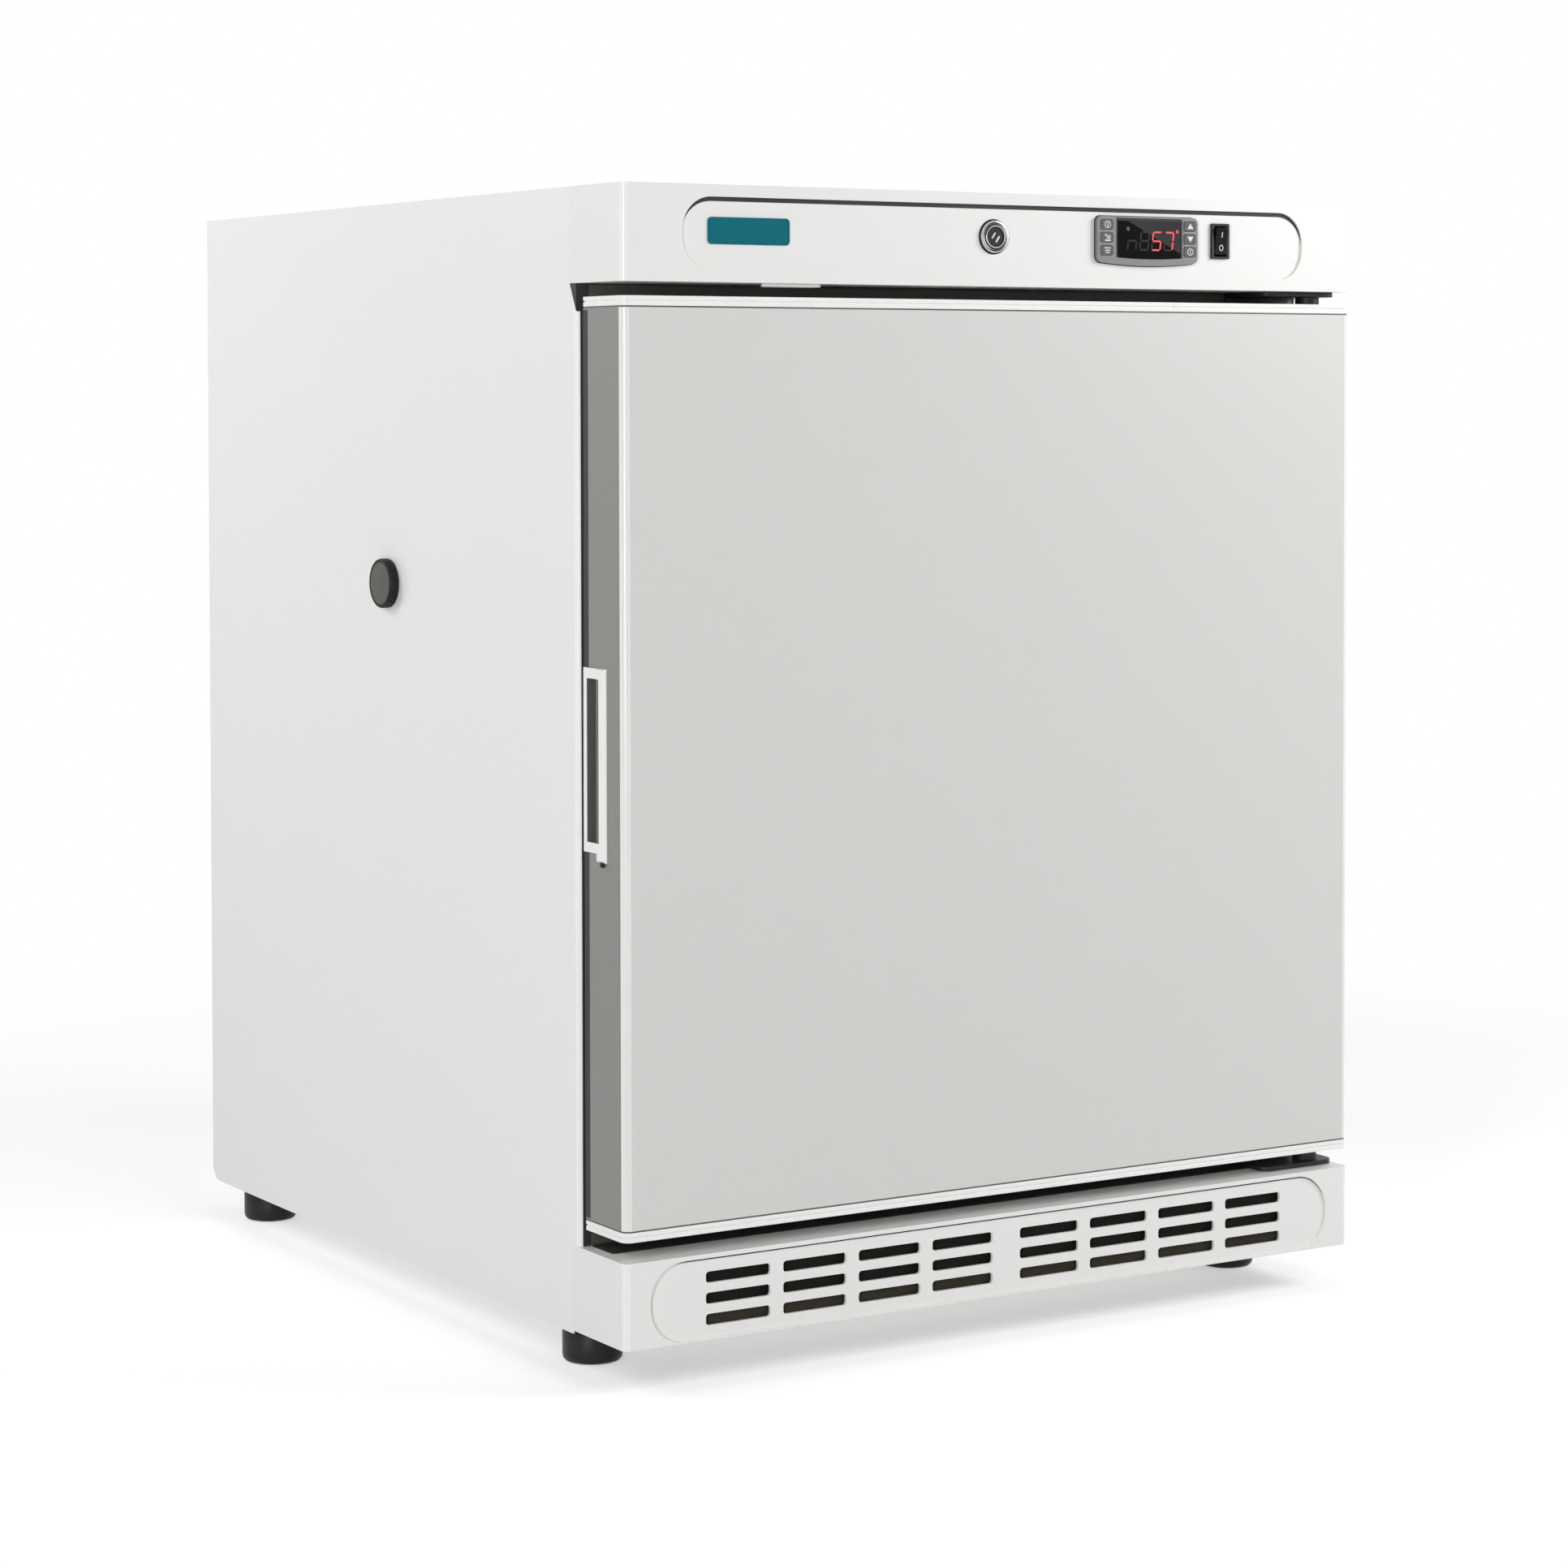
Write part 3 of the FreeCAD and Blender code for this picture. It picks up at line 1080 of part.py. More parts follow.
def cold_air():
    """The evaporator with its fan behind a slotted duct cover on the back wall."""
    w, t = d.DuctWidth / 2, d.DuctWall
    duct_y = (liner_back - d.DuctDepth, liner_back)
    duct_z = (liner_step, liner_high - d.DuctHeadroom)
    fan_x, fan_z = d.DuctFanX, duct_z[1] - d.DuctFanDrop
    shell = soften(box((-w, w), duct_y, duct_z), d.DuctRadius, ("z", "YMin"), ("x", "YMin", "ZMax"))
    hollow = box((t - w, w - t), (duct_y[0] + t, duct_y[1] + MARGIN), (duct_z[0] - MARGIN, duct_z[1] - t))
    hollow = soften(hollow, d.DuctRadius - t, ("z", "YMin"), ("x", "YMin", "ZMax"))
    through = (duct_y[0] - MARGIN, duct_y[0] + t + MARGIN)
    mouth = rod(d.RoomFanOpening, "y", through, (fan_x, fan_z))
    slots = []
    count = round(number(d.DuctSlots))
    for i in range(count):
        middle = (i - (count - 1) / 2) * d.DuctSlotPitch
        slots.append(box((middle - d.DuctSlotWidth / 2, middle + d.DuctSlotWidth / 2), through,
                         (duct_z[0] + d.DuctSlotRise, duct_z[0] + d.DuctSlotRise + d.DuctSlotHeight)))
    reach = d.RoomFanOpening / 2 + t
    guard = [wire(d.ShelfCrossWire, "x", (fan_x - reach, fan_x + reach),
                  (duct_y[0] + t / 2, fan_z + d.RoomFanOpening * share))
             for share in (-0.36, -0.24, -0.12, 0, 0.12, 0.24, 0.36)]
    keep("evaporator_cover", fuse(cut(shell, hollow, mouth, *slots), *guard))
    keep("evaporator", fins((d.EvaporatorSide - w, d.EvaporatorEnd), (duct_y[0] + d.EvaporatorFrontRoom, duct_y[1] - d.EvaporatorBackRoom),
                            (evaporator_low, duct_z[1] - d.EvaporatorHeadroom), round(number(d.EvaporatorFins))))
    motor_y = duct_y[1] - d.RoomMotorLength
    strut = box((fan_x - d.StrutWidth / 2, fan_x + d.StrutWidth / 2), (duct_y[1] - d.StrutGauge, duct_y[1]),
                (fan_z - d.RoomFanDiameter * 0.6, fan_z + d.RoomFanDiameter * 0.6))
    motor = rod(d.RoomMotorDiameter, "y", (motor_y, duct_y[1]), (fan_x, fan_z))
    blade_y = motor_y - d.BladeGap - d.RoomBladeDepth
    shaft = rod(d.FanShaft, "y", (blade_y + d.RoomBladeDepth * 0.3 + d.Clearance, motor_y + 1), (fan_x, fan_z))
    keep("evaporator_fan_motor", fuse(strut, motor, shaft))
    rotor("evaporator_fan_blades", d.RoomFanDiameter, d.RoomFanHub, d.RoomBladeDepth, 5, (fan_x, blade_y, fan_z))
    keep("lamp", soften(box((-d.LampLength / 2, d.LampLength / 2), (seam + d.LampSetback, seam + d.LampSetback + d.LampWidth),
                            (liner_high - d.LampDepth, liner_high)), d.LampDepth / 3, ("x", "ZMin")))
    probe_x, probe_z = -w - d.ProbeOffset, liner_step + d.ProbeRise
    probe = rod(d.ProbeDiameter, "z", (probe_z, probe_z + d.ProbeLength), (probe_x, liner_back - d.ProbeDiameter))
    clip = box((probe_x - d.ProbeDiameter, probe_x + d.ProbeDiameter), (liner_back - d.ProbeDiameter, liner_back),
               (probe_z + d.ProbeLength / 4, probe_z + d.ProbeLength / 2))
    keep("air_probe", fuse(probe, clip))


def machinery():
    """The compressor, condenser and pipes in the compartment at the back of the base."""
    x, y = d.CompressorX, compressor_y
    r = d.CompressorDiameter / 2
    foot_z = floor_top + d.GrommetHeight
    low, high = foot_z + d.CompressorFootGauge, foot_z + d.CompressorFootGauge + d.CompressorHeight
    profile = body("compressor")
    sketch = drawing(profile, "XZ_Plane")
    outline(sketch, [(0, low), (r * 0.74, low), (r, low + r * 0.37), (r, low + r * 0.88), (r + 4, low + r * 0.88),
                     (r + 4, low + r), (r, low + r), (r, high - r * 0.49), (r * 0.7, high), (0, high)])
    turned(profile, sketch)
    plate = drawing(profile, "XY_Plane", foot_z)
    rectangle(plate, (-r * 1.23, r * 1.23), (-r * 0.77, r * 0.77))
    feature(profile, "Pad", plate, 2 * d.CompressorFootGauge)
    cover = drawing(profile, "XY_Plane", low + r * 0.3)
    rectangle(cover, (r - 12, r + 22), (-24, 24))
    feature(profile, "Pad", cover, r * 0.9)
    move(profile, x, y, 0)
    pads = [rod(d.GrommetDiameter, "z", (floor_top, foot_z), (x + r * a, y + r * 0.6 * b))
            for a in (-1, 1) for b in (-1, 1)]
    keep("compressor_grommets", group(*pads))

    tray_z, wall = high + d.Clearance, d.TrayWall
    half_x, half_y = d.TrayLength / 2, d.TrayWidth / 2
    tray = box((x - half_x, x + half_x), (y - half_y, y + half_y), (tray_z, tray_z + d.TrayDepth))
    bowl = box((x - half_x + wall, x + half_x - wall), (y - half_y + wall, y + half_y - wall),
               (tray_z + wall, tray_z + d.TrayDepth + MARGIN))
    keep("drip_tray", cut(tray, bowl))
    drain = (drain_x, drain_y)
    tube = rod(d.DrainDiameter, "z", (tray_z + d.TrayDepth / 2, liner_step), drain)
    keep("drain_tube", cut(tube, rod(d.DrainDiameter - 3, "z", (tray_z, liner_step + MARGIN), drain)))

    w, tall = d.CondenserWidth / 2, d.CondenserHeight
    coil_y = (machine_front + d.CondenserGap, machine_front + d.CondenserGap + d.CondenserThickness)
    keep("condenser", fins((d.CondenserX - w, d.CondenserX + w), coil_y, (floor_top, floor_top + tall),
                           round(number(d.CondenserFins))))
    fan_z = floor_top + tall / 2
    blade_y = coil_y[1] + d.FanGap
    motor_y = blade_y + d.CondenserBladeDepth + d.BladeGap
    motor_end = motor_y + d.CondenserMotorLength
    motor = rod(d.CondenserMotorDiameter, "y", (motor_y, motor_end), (d.CondenserX, fan_z))
    shaft = rod(d.FanShaft, "y", (blade_y + d.CondenserBladeDepth * 0.3 + d.Clearance, motor_y + 1),
                (d.CondenserX, fan_z))
    stand_x = (d.CondenserX - 20, d.CondenserX + 20)
    stand = box(stand_x, (motor_end - 3, motor_end), (floor_top, fan_z))
    sole = box(stand_x, (motor_end - 30, motor_end), (floor_top, floor_top + 3))
    keep("condenser_fan_motor", fuse(motor, shaft, stand, sole))
    rotor("condenser_fan_blades", d.CondenserFanDiameter, d.CondenserFanHub, d.CondenserBladeDepth, 5,
          (d.CondenserX, blade_y, fan_z))

    thick, neck, drop = d.DrierDiameter, d.PipeDiameter + 1, d.DrierDiameter * 0.75
    drier_low = floor_top + tall * 0.34
    drier_high = drier_low + d.DrierLength
    at = (pipe_x, pipe_y)
    keep("filter_drier", fuse(rod(thick, "z", (drier_low + drop, drier_high - drop), at),
                              taper(neck, thick, "z", (drier_low, drier_low + drop), at),
                              taper(thick, neck, "z", (drier_high - drop, drier_high), at)))

    side_x = d.CondenserX + w + 2
    coil_mid = (coil_y[0] + coil_y[1]) / 2 + d.CondenserThickness * 0.22
    riser_x = suction_x + 2 * d.PipeDiameter
    hot_z, liquid_z = floor_top + tall * 0.85, floor_top + tall * 0.15
    discharge_z, suction_z = high - r * 0.67, low + r * 0.72
    routes = (
        [(x - r, y, discharge_z), (riser_x, y, discharge_z), (riser_x, y, hot_z), (riser_x, coil_mid, hot_z),
         (side_x, coil_mid, hot_z)],
        [(side_x, coil_mid, liquid_z), (pipe_x, coil_mid, liquid_z), (pipe_x, pipe_y, liquid_z),
         (pipe_x, pipe_y, drier_low)],
        [(pipe_x, pipe_y, drier_high), (pipe_x, pipe_y, evaporator_low)],
        [(suction_x, suction_y, evaporator_low), (suction_x, suction_y, suction_z), (suction_x, y, suction_z),
         (x - r, y, suction_z)],
    )
    keep("refrigerant_pipes", group(*[pipe(route, d.PipeDiameter, d.PipeBend) for route in routes]))


def rear_cover():
    """The louvred sheet over the machine compartment, with the mains lead's gland."""
    low = floor_top + d.PanelCornerRadius
    sheet = box((-inside_half, inside_half), (back_inner, back), (low, machine_top))
    slots, hoods = [], []
    for column in range(4):
        start = -230 + column * 120
        for row in range(9):
            z = low + 22 + row * 18
            slots.append(box((start, start + 100), (back_inner - MARGIN, back + MARGIN), (z, z + 7)))
            hood = box((start - 1, start + 101), (-1.0, 0), (0, 9))
            hood.Placement = Placement(Vector(), Rotation(X, 24))
            move(hood, start - 1, back, z + 0.5)
            hoods.append(hood)
    gland_x, gland_z = 245, low + 24
    hole = rod(Size("12.6", 12.6), "y", (back_inner - MARGIN, back + MARGIN), (gland_x, gland_z))
    keep("rear_grille", fuse(cut(sheet, *slots, hole), *hoods))
    boss = rod(Size("20", 20), "y", (back, back + 4), (gland_x, gland_z))
    neck = rod(Size("12", 12), "y", (back_inner - 6, back + 1), (gland_x, gland_z))
    keep("cord_gland", fuse(boss, neck))


cabinet()
base()
for name, spot in foot_places().items():
    foot(name, spot)
fascia()
door_sensor()
controller()
power_switch()
lock()
lower_grille()
door()
hinges()
port()
shelves()
cold_air()
machinery()
rear_cover()

doc.recompute()
faults = [item.Label for item in doc.Objects if {"Invalid", "Error"} & set(item.State)]
for label, item in subparts.items():
    if item.Shape.isNull() or not item.Shape.isValid():
        faults.append(label)
if faults:
    raise SystemExit("These objects are not sound: " + ", ".join(faults))

os.makedirs("parts", exist_ok=True)
for label, item in subparts.items():
    item.Shape.exportStep(f"parts/{label}.step")
print(len(subparts), "pieces")
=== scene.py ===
import json
import math

import bmesh
import bpy
from mathutils import Matrix, Vector
from mathutils.geometry import tessellate_polygon


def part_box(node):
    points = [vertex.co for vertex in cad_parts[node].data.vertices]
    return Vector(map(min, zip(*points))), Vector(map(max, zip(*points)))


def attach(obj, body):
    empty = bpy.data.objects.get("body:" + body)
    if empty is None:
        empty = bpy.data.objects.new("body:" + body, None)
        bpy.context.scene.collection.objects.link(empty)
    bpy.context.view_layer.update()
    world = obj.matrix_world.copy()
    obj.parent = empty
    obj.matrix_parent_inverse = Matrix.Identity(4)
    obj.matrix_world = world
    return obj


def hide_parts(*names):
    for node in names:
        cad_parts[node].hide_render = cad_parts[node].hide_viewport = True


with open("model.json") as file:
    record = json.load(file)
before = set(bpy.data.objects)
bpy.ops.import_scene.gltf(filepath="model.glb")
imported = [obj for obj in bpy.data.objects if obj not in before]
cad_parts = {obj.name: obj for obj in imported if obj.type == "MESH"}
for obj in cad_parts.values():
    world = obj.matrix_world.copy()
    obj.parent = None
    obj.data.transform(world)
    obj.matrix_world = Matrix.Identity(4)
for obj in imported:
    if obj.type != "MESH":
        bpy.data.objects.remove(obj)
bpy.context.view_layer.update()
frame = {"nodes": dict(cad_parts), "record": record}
scene = bpy.context.scene
scene.view_settings.view_transform = "Standard"


# The studio: a long lens a little below the top of the cabinet, turned to its
# left front corner, with a pale floor under it and soft boxes round it.
camera = bpy.data.objects.new("studio_camera", bpy.data.cameras.new("studio_camera"))
camera.data.sensor_fit = "HORIZONTAL"
camera.data.sensor_width = 36.0
camera.data.lens = 88.69
camera.data.shift_y = -0.1639
camera.data.clip_end = 60.0
turn = Matrix.Rotation(math.radians(-31.626), 4, "Z")
tilt = Matrix.Rotation(math.radians(90 - 2.0), 4, "X")
roll = Matrix.Rotation(math.radians(-0.088), 4, "Z")
camera.matrix_world = Matrix.Translation((-1.4051, -2.3207, 0.6046)) @ turn @ tilt @ roll
scene.collection.objects.link(camera)
scene.camera = camera

FLOOR_LIFT = 0.45
floor_half = 9.0
floor_mesh = bpy.data.meshes.new("studio_floor")
floor_mesh.from_pydata([(-floor_half, -floor_half, 0), (floor_half, -floor_half, 0),
                        (floor_half, floor_half, 0), (-floor_half, floor_half, 0)], [], [(0, 1, 2, 3)])
floor = bpy.data.objects.new("studio_floor", floor_mesh)
scene.collection.objects.link(floor)


def see_through_rays(tree):
    """One where a camera, mirror or glass ray looks, nought for the light on surfaces."""
    path = tree.nodes.new("ShaderNodeLightPath")
    first = tree.nodes.new("ShaderNodeMath")
    second = tree.nodes.new("ShaderNodeMath")
    for step in (first, second):
        step.operation = "MAXIMUM"
    tree.links.new(path.outputs["Is Camera Ray"], first.inputs[0])
    tree.links.new(path.outputs["Is Glossy Ray"], first.inputs[1])
    tree.links.new(first.outputs[0], second.inputs[0])
    tree.links.new(path.outputs["Is Transmission Ray"], second.inputs[1])
    return second.outputs[0]


floor_finish = bpy.data.materials.new("pale_floor")
floor_finish.use_nodes = True
tree = floor_finish.node_tree
tree.nodes.clear()
paper = tree.nodes.new("ShaderNodeBsdfDiffuse")
paper.inputs["Color"].default_value = (0.86, 0.86, 0.86, 1)
glow = tree.nodes.new("ShaderNodeEmission")
glow.inputs["Strength"].default_value = FLOOR_LIFT
white = tree.nodes.new("ShaderNodeEmission")
white.inputs["Strength"].default_value = 1.0
both = tree.nodes.new("ShaderNodeAddShader")
choose = tree.nodes.new("ShaderNodeMixShader")
fade = tree.nodes.new("ShaderNodeMixShader")
leave = tree.nodes.new("ShaderNodeOutputMaterial")
spot = tree.nodes.new("ShaderNodeTexCoord")
away = tree.nodes.new("ShaderNodeVectorMath")
away.operation = "LENGTH"
ring = tree.nodes.new("ShaderNodeMapRange")
ring.interpolation_type = "SMOOTHSTEP"
ring.inputs["From Min"].default_value = 0.55
ring.inputs["From Max"].default_value = 1.5
tree.links.new(spot.outputs["Object"], away.inputs[0])
tree.links.new(away.outputs["Value"], ring.inputs["Value"])
tree.links.new(paper.outputs[0], both.inputs[0])
tree.links.new(glow.outputs[0], both.inputs[1])
tree.links.new(ring.outputs["Result"], fade.inputs["Fac"])
tree.links.new(both.outputs[0], fade.inputs[1])
tree.links.new(white.outputs[0], fade.inputs[2])
tree.links.new(see_through_rays(tree), choose.inputs["Fac"])
tree.links.new(paper.outputs[0], choose.inputs[1])
tree.links.new(fade.outputs[0], choose.inputs[2])
tree.links.new(choose.outputs[0], leave.inputs["Surface"])
floor_mesh.materials.append(floor_finish)

sky = bpy.data.worlds.new("studio")
scene.world = sky
sky.use_nodes = True
tree = sky.node_tree
tree.nodes.clear()
ambient = tree.nodes.new("ShaderNodeBackground")
ambient.inputs["Strength"].default_value = 0.20
backdrop = tree.nodes.new("ShaderNodeBackground")
backdrop.inputs["Color"].default_value = (1, 1, 1, 1)
backdrop.inputs["Strength"].default_value = 1.0
choose = tree.nodes.new("ShaderNodeMixShader")
leave = tree.nodes.new("ShaderNodeOutputWorld")
tree.links.new(see_through_rays(tree), choose.inputs["Fac"])
tree.links.new(ambient.outputs[0], choose.inputs[1])
tree.links.new(backdrop.outputs[0], choose.inputs[2])
tree.links.new(choose.outputs[0], leave.inputs["Surface"])

SOFT_BOXES = (
    ("front_right", (1.35, -1.2, 1.15), (0.25, -0.31, 0.62), (0.8, 0.8), 19),
    ("left_side", (-1.3, 0.75, 1.2), (-0.28, 0.3, 0.68), (0.7, 0.7), 8),
    ("corner_key", (-2.3, -2.2, 0.95), (-0.28, -0.3, 0.5), (0.4, 1.7), 42),
    ("back_fill", (0.9, 2.9, 1.2), (0, 0.3, 0.4), (1.6, 1.2), 16),
)
for name, place, aim, (width, height), watts in SOFT_BOXES:
    lamp = bpy.data.lights.new(name, "AREA")
    lamp.shape = "RECTANGLE"
    lamp.size = width
    lamp.size_y = height
    lamp.energy = watts
    stand = bpy.data.objects.new(name, lamp)
    stand.location = place
    stand.rotation_euler = (Vector(aim) - Vector(place)).to_track_quat("-Z", "Y").to_euler()
    scene.collection.objects.link(stand)


# The base tray: pressed zinc-plated steel with a weld nut over each foot.
# Drawn sheet shows long faint lines, and its folded edges are slightly round.
def shader_group(name, takes, gives):
    """A named group of shader nodes with sockets; gives back the group and its two ends."""
    group = bpy.data.node_groups.new(name, "ShaderNodeTree")
    for label, kind, start in takes:
        socket = group.interface.new_socket(name=label, in_out="INPUT", socket_type=kind)
        socket.default_value = start
    for label, kind in gives:
        group.interface.new_socket(name=label, in_out="OUTPUT", socket_type=kind)
    return group, group.nodes.new("NodeGroupInput"), group.nodes.new("NodeGroupOutput")


def put(tree, kind, mode=None, **inputs):
    """Add a node, with its inputs given by name as values or as sockets to link."""
    node = tree.nodes.new(kind)
    if mode is not None:
        if kind == "ShaderNodeMath":
            node.operation = mode
        elif kind == "ShaderNodeMix":
            node.data_type = mode
        elif kind == "ShaderNodeTexVoronoi":
            node.feature = mode
    for label, value in inputs.items():
        label = label.replace("_", " ")
        if label.isdigit() or label.startswith("at "):
            socket = node.inputs[int(label.split()[-1])]
        else:
            socket = next(item for item in node.inputs if item.name == label and item.enabled)
        if isinstance(value, bpy.types.NodeSocket):
            tree.links.new(value, socket)
        else:
            socket.default_value = value
    return node


def spread(tree, source, low, high):
    """Map a value between nought and one onto a range."""
    node = tree.nodes.new("ShaderNodeMapRange")
    tree.links.new(source, node.inputs["Value"])
    for label, value in (("To Min", low), ("To Max", high)):
        if isinstance(value, bpy.types.NodeSocket):
            tree.links.new(value, node.inputs[label])
        else:
            node.inputs[label].default_value = value
    return node.outputs["Result"]


COLOUR, FLOAT, VECTOR = "NodeSocketColor", "NodeSocketFloat", "NodeSocketVector"
GIVES = (("Colour", COLOUR), ("Roughness", FLOAT), ("Height", FLOAT))

drawn_metal, inlet, outlet = shader_group(
    "DrawnMetal",
    (("Colour", COLOUR, (0.6, 0.6, 0.6, 1)), ("Stretch", VECTOR, (4, 900, 900)),
     ("Roughness", FLOAT, 0.3), ("Mottle", FLOAT, 0.15)),
    GIVES)
where = put(drawn_metal, "ShaderNodeTexCoord")
lines = put(drawn_metal, "ShaderNodeMapping", Vector=where.outputs["Object"],
            Scale=inlet.outputs["Stretch"])
streaks = put(drawn_metal, "ShaderNodeTexNoise", Vector=lines.outputs[0], Scale=1.0, Detail=4.0)
cloud = put(drawn_metal, "ShaderNodeTexNoise", Vector=where.outputs["Object"], Scale=22.0, Detail=5.0)
darker = put(drawn_metal, "ShaderNodeMix", "RGBA", A=inlet.outputs["Colour"], B=(0.25, 0.25, 0.26, 1),
             Factor=put(drawn_metal, "ShaderNodeMath", "MULTIPLY", at_0=cloud.outputs["Fac"],
                        at_1=inlet.outputs["Mottle"]).outputs[0])
rough = put(drawn_metal, "ShaderNodeMath", "ADD", at_0=inlet.outputs["Roughness"],
            at_1=spread(drawn_metal, streaks.outputs["Fac"], -0.1, 0.1))
drawn_metal.links.new(next(s for s in darker.outputs if s.enabled), outlet.inputs["Colour"])
drawn_metal.links.new(rough.outputs[0], outlet.inputs["Roughness"])
drawn_metal.links.new(streaks.outputs["Fac"], outlet.inputs["Height"])


def finish(name, group, values, metallic=0.0, bump=0.0001, **sockets):
    """A material whose colour, roughness and relief come from a shared surface group."""
    made = bpy.data.materials.new(name)
    made.use_nodes = True
    tree = made.node_tree
    surface = tree.nodes["Principled BSDF"]
    effect = tree.nodes.new("ShaderNodeGroup")
    effect.node_tree = group
    for label, value in values.items():
        effect.inputs[label].default_value = value
    tree.links.new(effect.outputs["Colour"], surface.inputs["Base Color"])
    tree.links.new(effect.outputs["Roughness"], surface.inputs["Roughness"])
    relief = tree.nodes.new("ShaderNodeBump")
    relief.inputs["Strength"].default_value = 1.0
    relief.inputs["Distance"].default_value = bump
    tree.links.new(effect.outputs["Height"], relief.inputs["Height"])
    tree.links.new(relief.outputs["Normal"], surface.inputs["Normal"])
    surface.inputs["Metallic"].default_value = metallic
    for label, value in sockets.items():
        surface.inputs[label.replace("_", " ")].default_value = value
    return made


def fit_piece(name, mesh, material, body, stands_for=()):
    """Put a finished mesh in the scene on its body, in place of the plain nodes that it stands for."""
    thing = bpy.data.objects.new(name, mesh)
    scene.collection.objects.link(thing)
    mesh.materials.clear()
    mesh.materials.append(material)
    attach(thing, body)
    if stands_for:
        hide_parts(*stands_for)
    return thing


BODY_OF = {node: body for body, nodes in frame["record"]["behaviour"]["bodies"].items() for node in nodes}


def round_edges(thing, width, steps=2):
    """Round the sharp edges by a small radius and keep the flat faces flat."""
    bevel = thing.modifiers.new("edges", "BEVEL")
    bevel.width = width
    bevel.segments = steps
    bevel.limit_method = "ANGLE"
    bevel.angle_limit = math.radians(28)
    bevel.miter_outer = "MITER_ARC"
    even = thing.modifiers.new("normals", "WEIGHTED_NORMAL")
    even.keep_sharp = True
    return thing


def refined(node, width, material, steps=2, whole=True):
    """The piece of a node, made again with rounded edges and, where whole, undivided flat faces."""
    work = bmesh.new()
    work.from_mesh(frame["nodes"][node].data)
    bmesh.ops.remove_doubles(work, verts=work.verts, dist=2e-6)
    if whole:
        bmesh.ops.dissolve_limit(work, angle_limit=math.radians(0.4), verts=work.verts, edges=work.edges)
    for face in work.faces:
        face.smooth = True
    mesh = bpy.data.meshes.new(node + "_piece")
    work.to_mesh(mesh)
    work.free()
    stale = mesh.attributes.get("custom_normal")
    if stale:
        mesh.attributes.remove(stale)
    mesh.set_sharp_from_angle(angle=math.radians(28))
    thing = fit_piece(node + "_piece", mesh, material, BODY_OF[node], (node,))
    if width:
        round_edges(thing, width, steps)
    return thing


zinc = finish("zinc_plate", drawn_metal, {"Colour": (0.62, 0.62, 0.60, 1), "Roughness": 0.38}, metallic=1.0,
              bump=0.00002)
refined("base_plate", 0.0004, zinc)


# The feet: black moulded cups that screw into the tray on a steel stud, with
# a fine matt grain and a skirt that rounds in to the floor.
moulded, inlet, outlet = shader_group(
    "MouldedPlastic",
    (("Colour", COLOUR, (0.8, 0.8, 0.8, 1)), ("Roughness", FLOAT, 0.35), ("Grain", FLOAT, 1800.0),
     ("Flow", FLOAT, 0.03)),
    GIVES)
where = put(moulded, "ShaderNodeTexCoord")
grain = put(moulded, "ShaderNodeTexNoise", Vector=where.outputs["Object"], Scale=inlet.outputs["Grain"],
            Detail=3.0)
flow = put(moulded, "ShaderNodeTexNoise", Vector=where.outputs["Object"], Scale=5.0, Detail=4.0,
           Distortion=0.8)
tone = put(moulded, "ShaderNodeMix", "RGBA", A=inlet.outputs["Colour"], B=(0.35, 0.34, 0.32, 1),
           Factor=put(moulded, "ShaderNodeMath", "MULTIPLY", at_0=flow.outputs["Fac"],
                      at_1=inlet.outputs["Flow"]).outputs[0])
rough = put(moulded, "ShaderNodeMath", "ADD", at_0=inlet.outputs["Roughness"],
            at_1=spread(moulded, flow.outputs["Fac"], -0.06, 0.06))
moulded.links.new(next(s for s in tone.outputs if s.enabled), outlet.inputs["Colour"])
moulded.links.new(rough.outputs[0], outlet.inputs["Roughness"])
moulded.links.new(grain.outputs["Fac"], outlet.inputs["Height"])

black_moulding = finish("foot_black", moulded, {"Colour": (0.012, 0.012, 0.012, 1), "Roughness": 0.42,
                                               "Flow": 0.01}, bump=0.00006, Specular_IOR_Level=0.25)


def turned(name, profile, centre, axis, material, body, stands_for=(), steps=64):
    """A piece turned about an axis: the profile is (radius, place along the axis) from end to end."""
    spin = {"x": Matrix(((0, 0, 1), (1, 0, 0), (0, 1, 0))),
            "y": Matrix(((0, 1, 0), (0, 0, 1), (1, 0, 0))), "z": Matrix.Identity(3)}[axis]
    verts, faces, rings = [], [], []
    for radius, place in profile:
        if radius < 1e-7:
            rings.append([len(verts)])
            verts.append(spin @ Vector((0, 0, place)) + Vector(centre))
            continue
        rings.append(list(range(len(verts), len(verts) + steps)))
        for i in range(steps):
            angle = math.tau * i / steps
            point = Vector((radius * math.cos(angle), radius * math.sin(angle), place))
            verts.append(spin @ point + Vector(centre))
    for ring, after in zip(rings, rings[1:]):
        for i in range(steps):
            a, b = ring[i % len(ring)], ring[(i + 1) % len(ring)]
            c, e = after[(i + 1) % len(after)], after[i % len(after)]
            face = [v for n, v in enumerate((a, b, c, e)) if v not in (a, b, c, e)[:n]]
            if len(face) > 2:
                faces.append(face)
    mesh = bpy.data.meshes.new(name)
    mesh.from_pydata(verts, [], faces)
    work = bmesh.new()
    work.from_mesh(mesh)
    bmesh.ops.remove_doubles(work, verts=work.verts, dist=1e-7)
    bmesh.ops.recalc_face_normals(work, faces=work.faces)
    for face in work.faces:
        face.smooth = True
    work.to_mesh(mesh)
    work.free()
    mesh.set_sharp_from_angle(angle=math.radians(38))
    return fit_piece(name, mesh, material, body, stands_for)


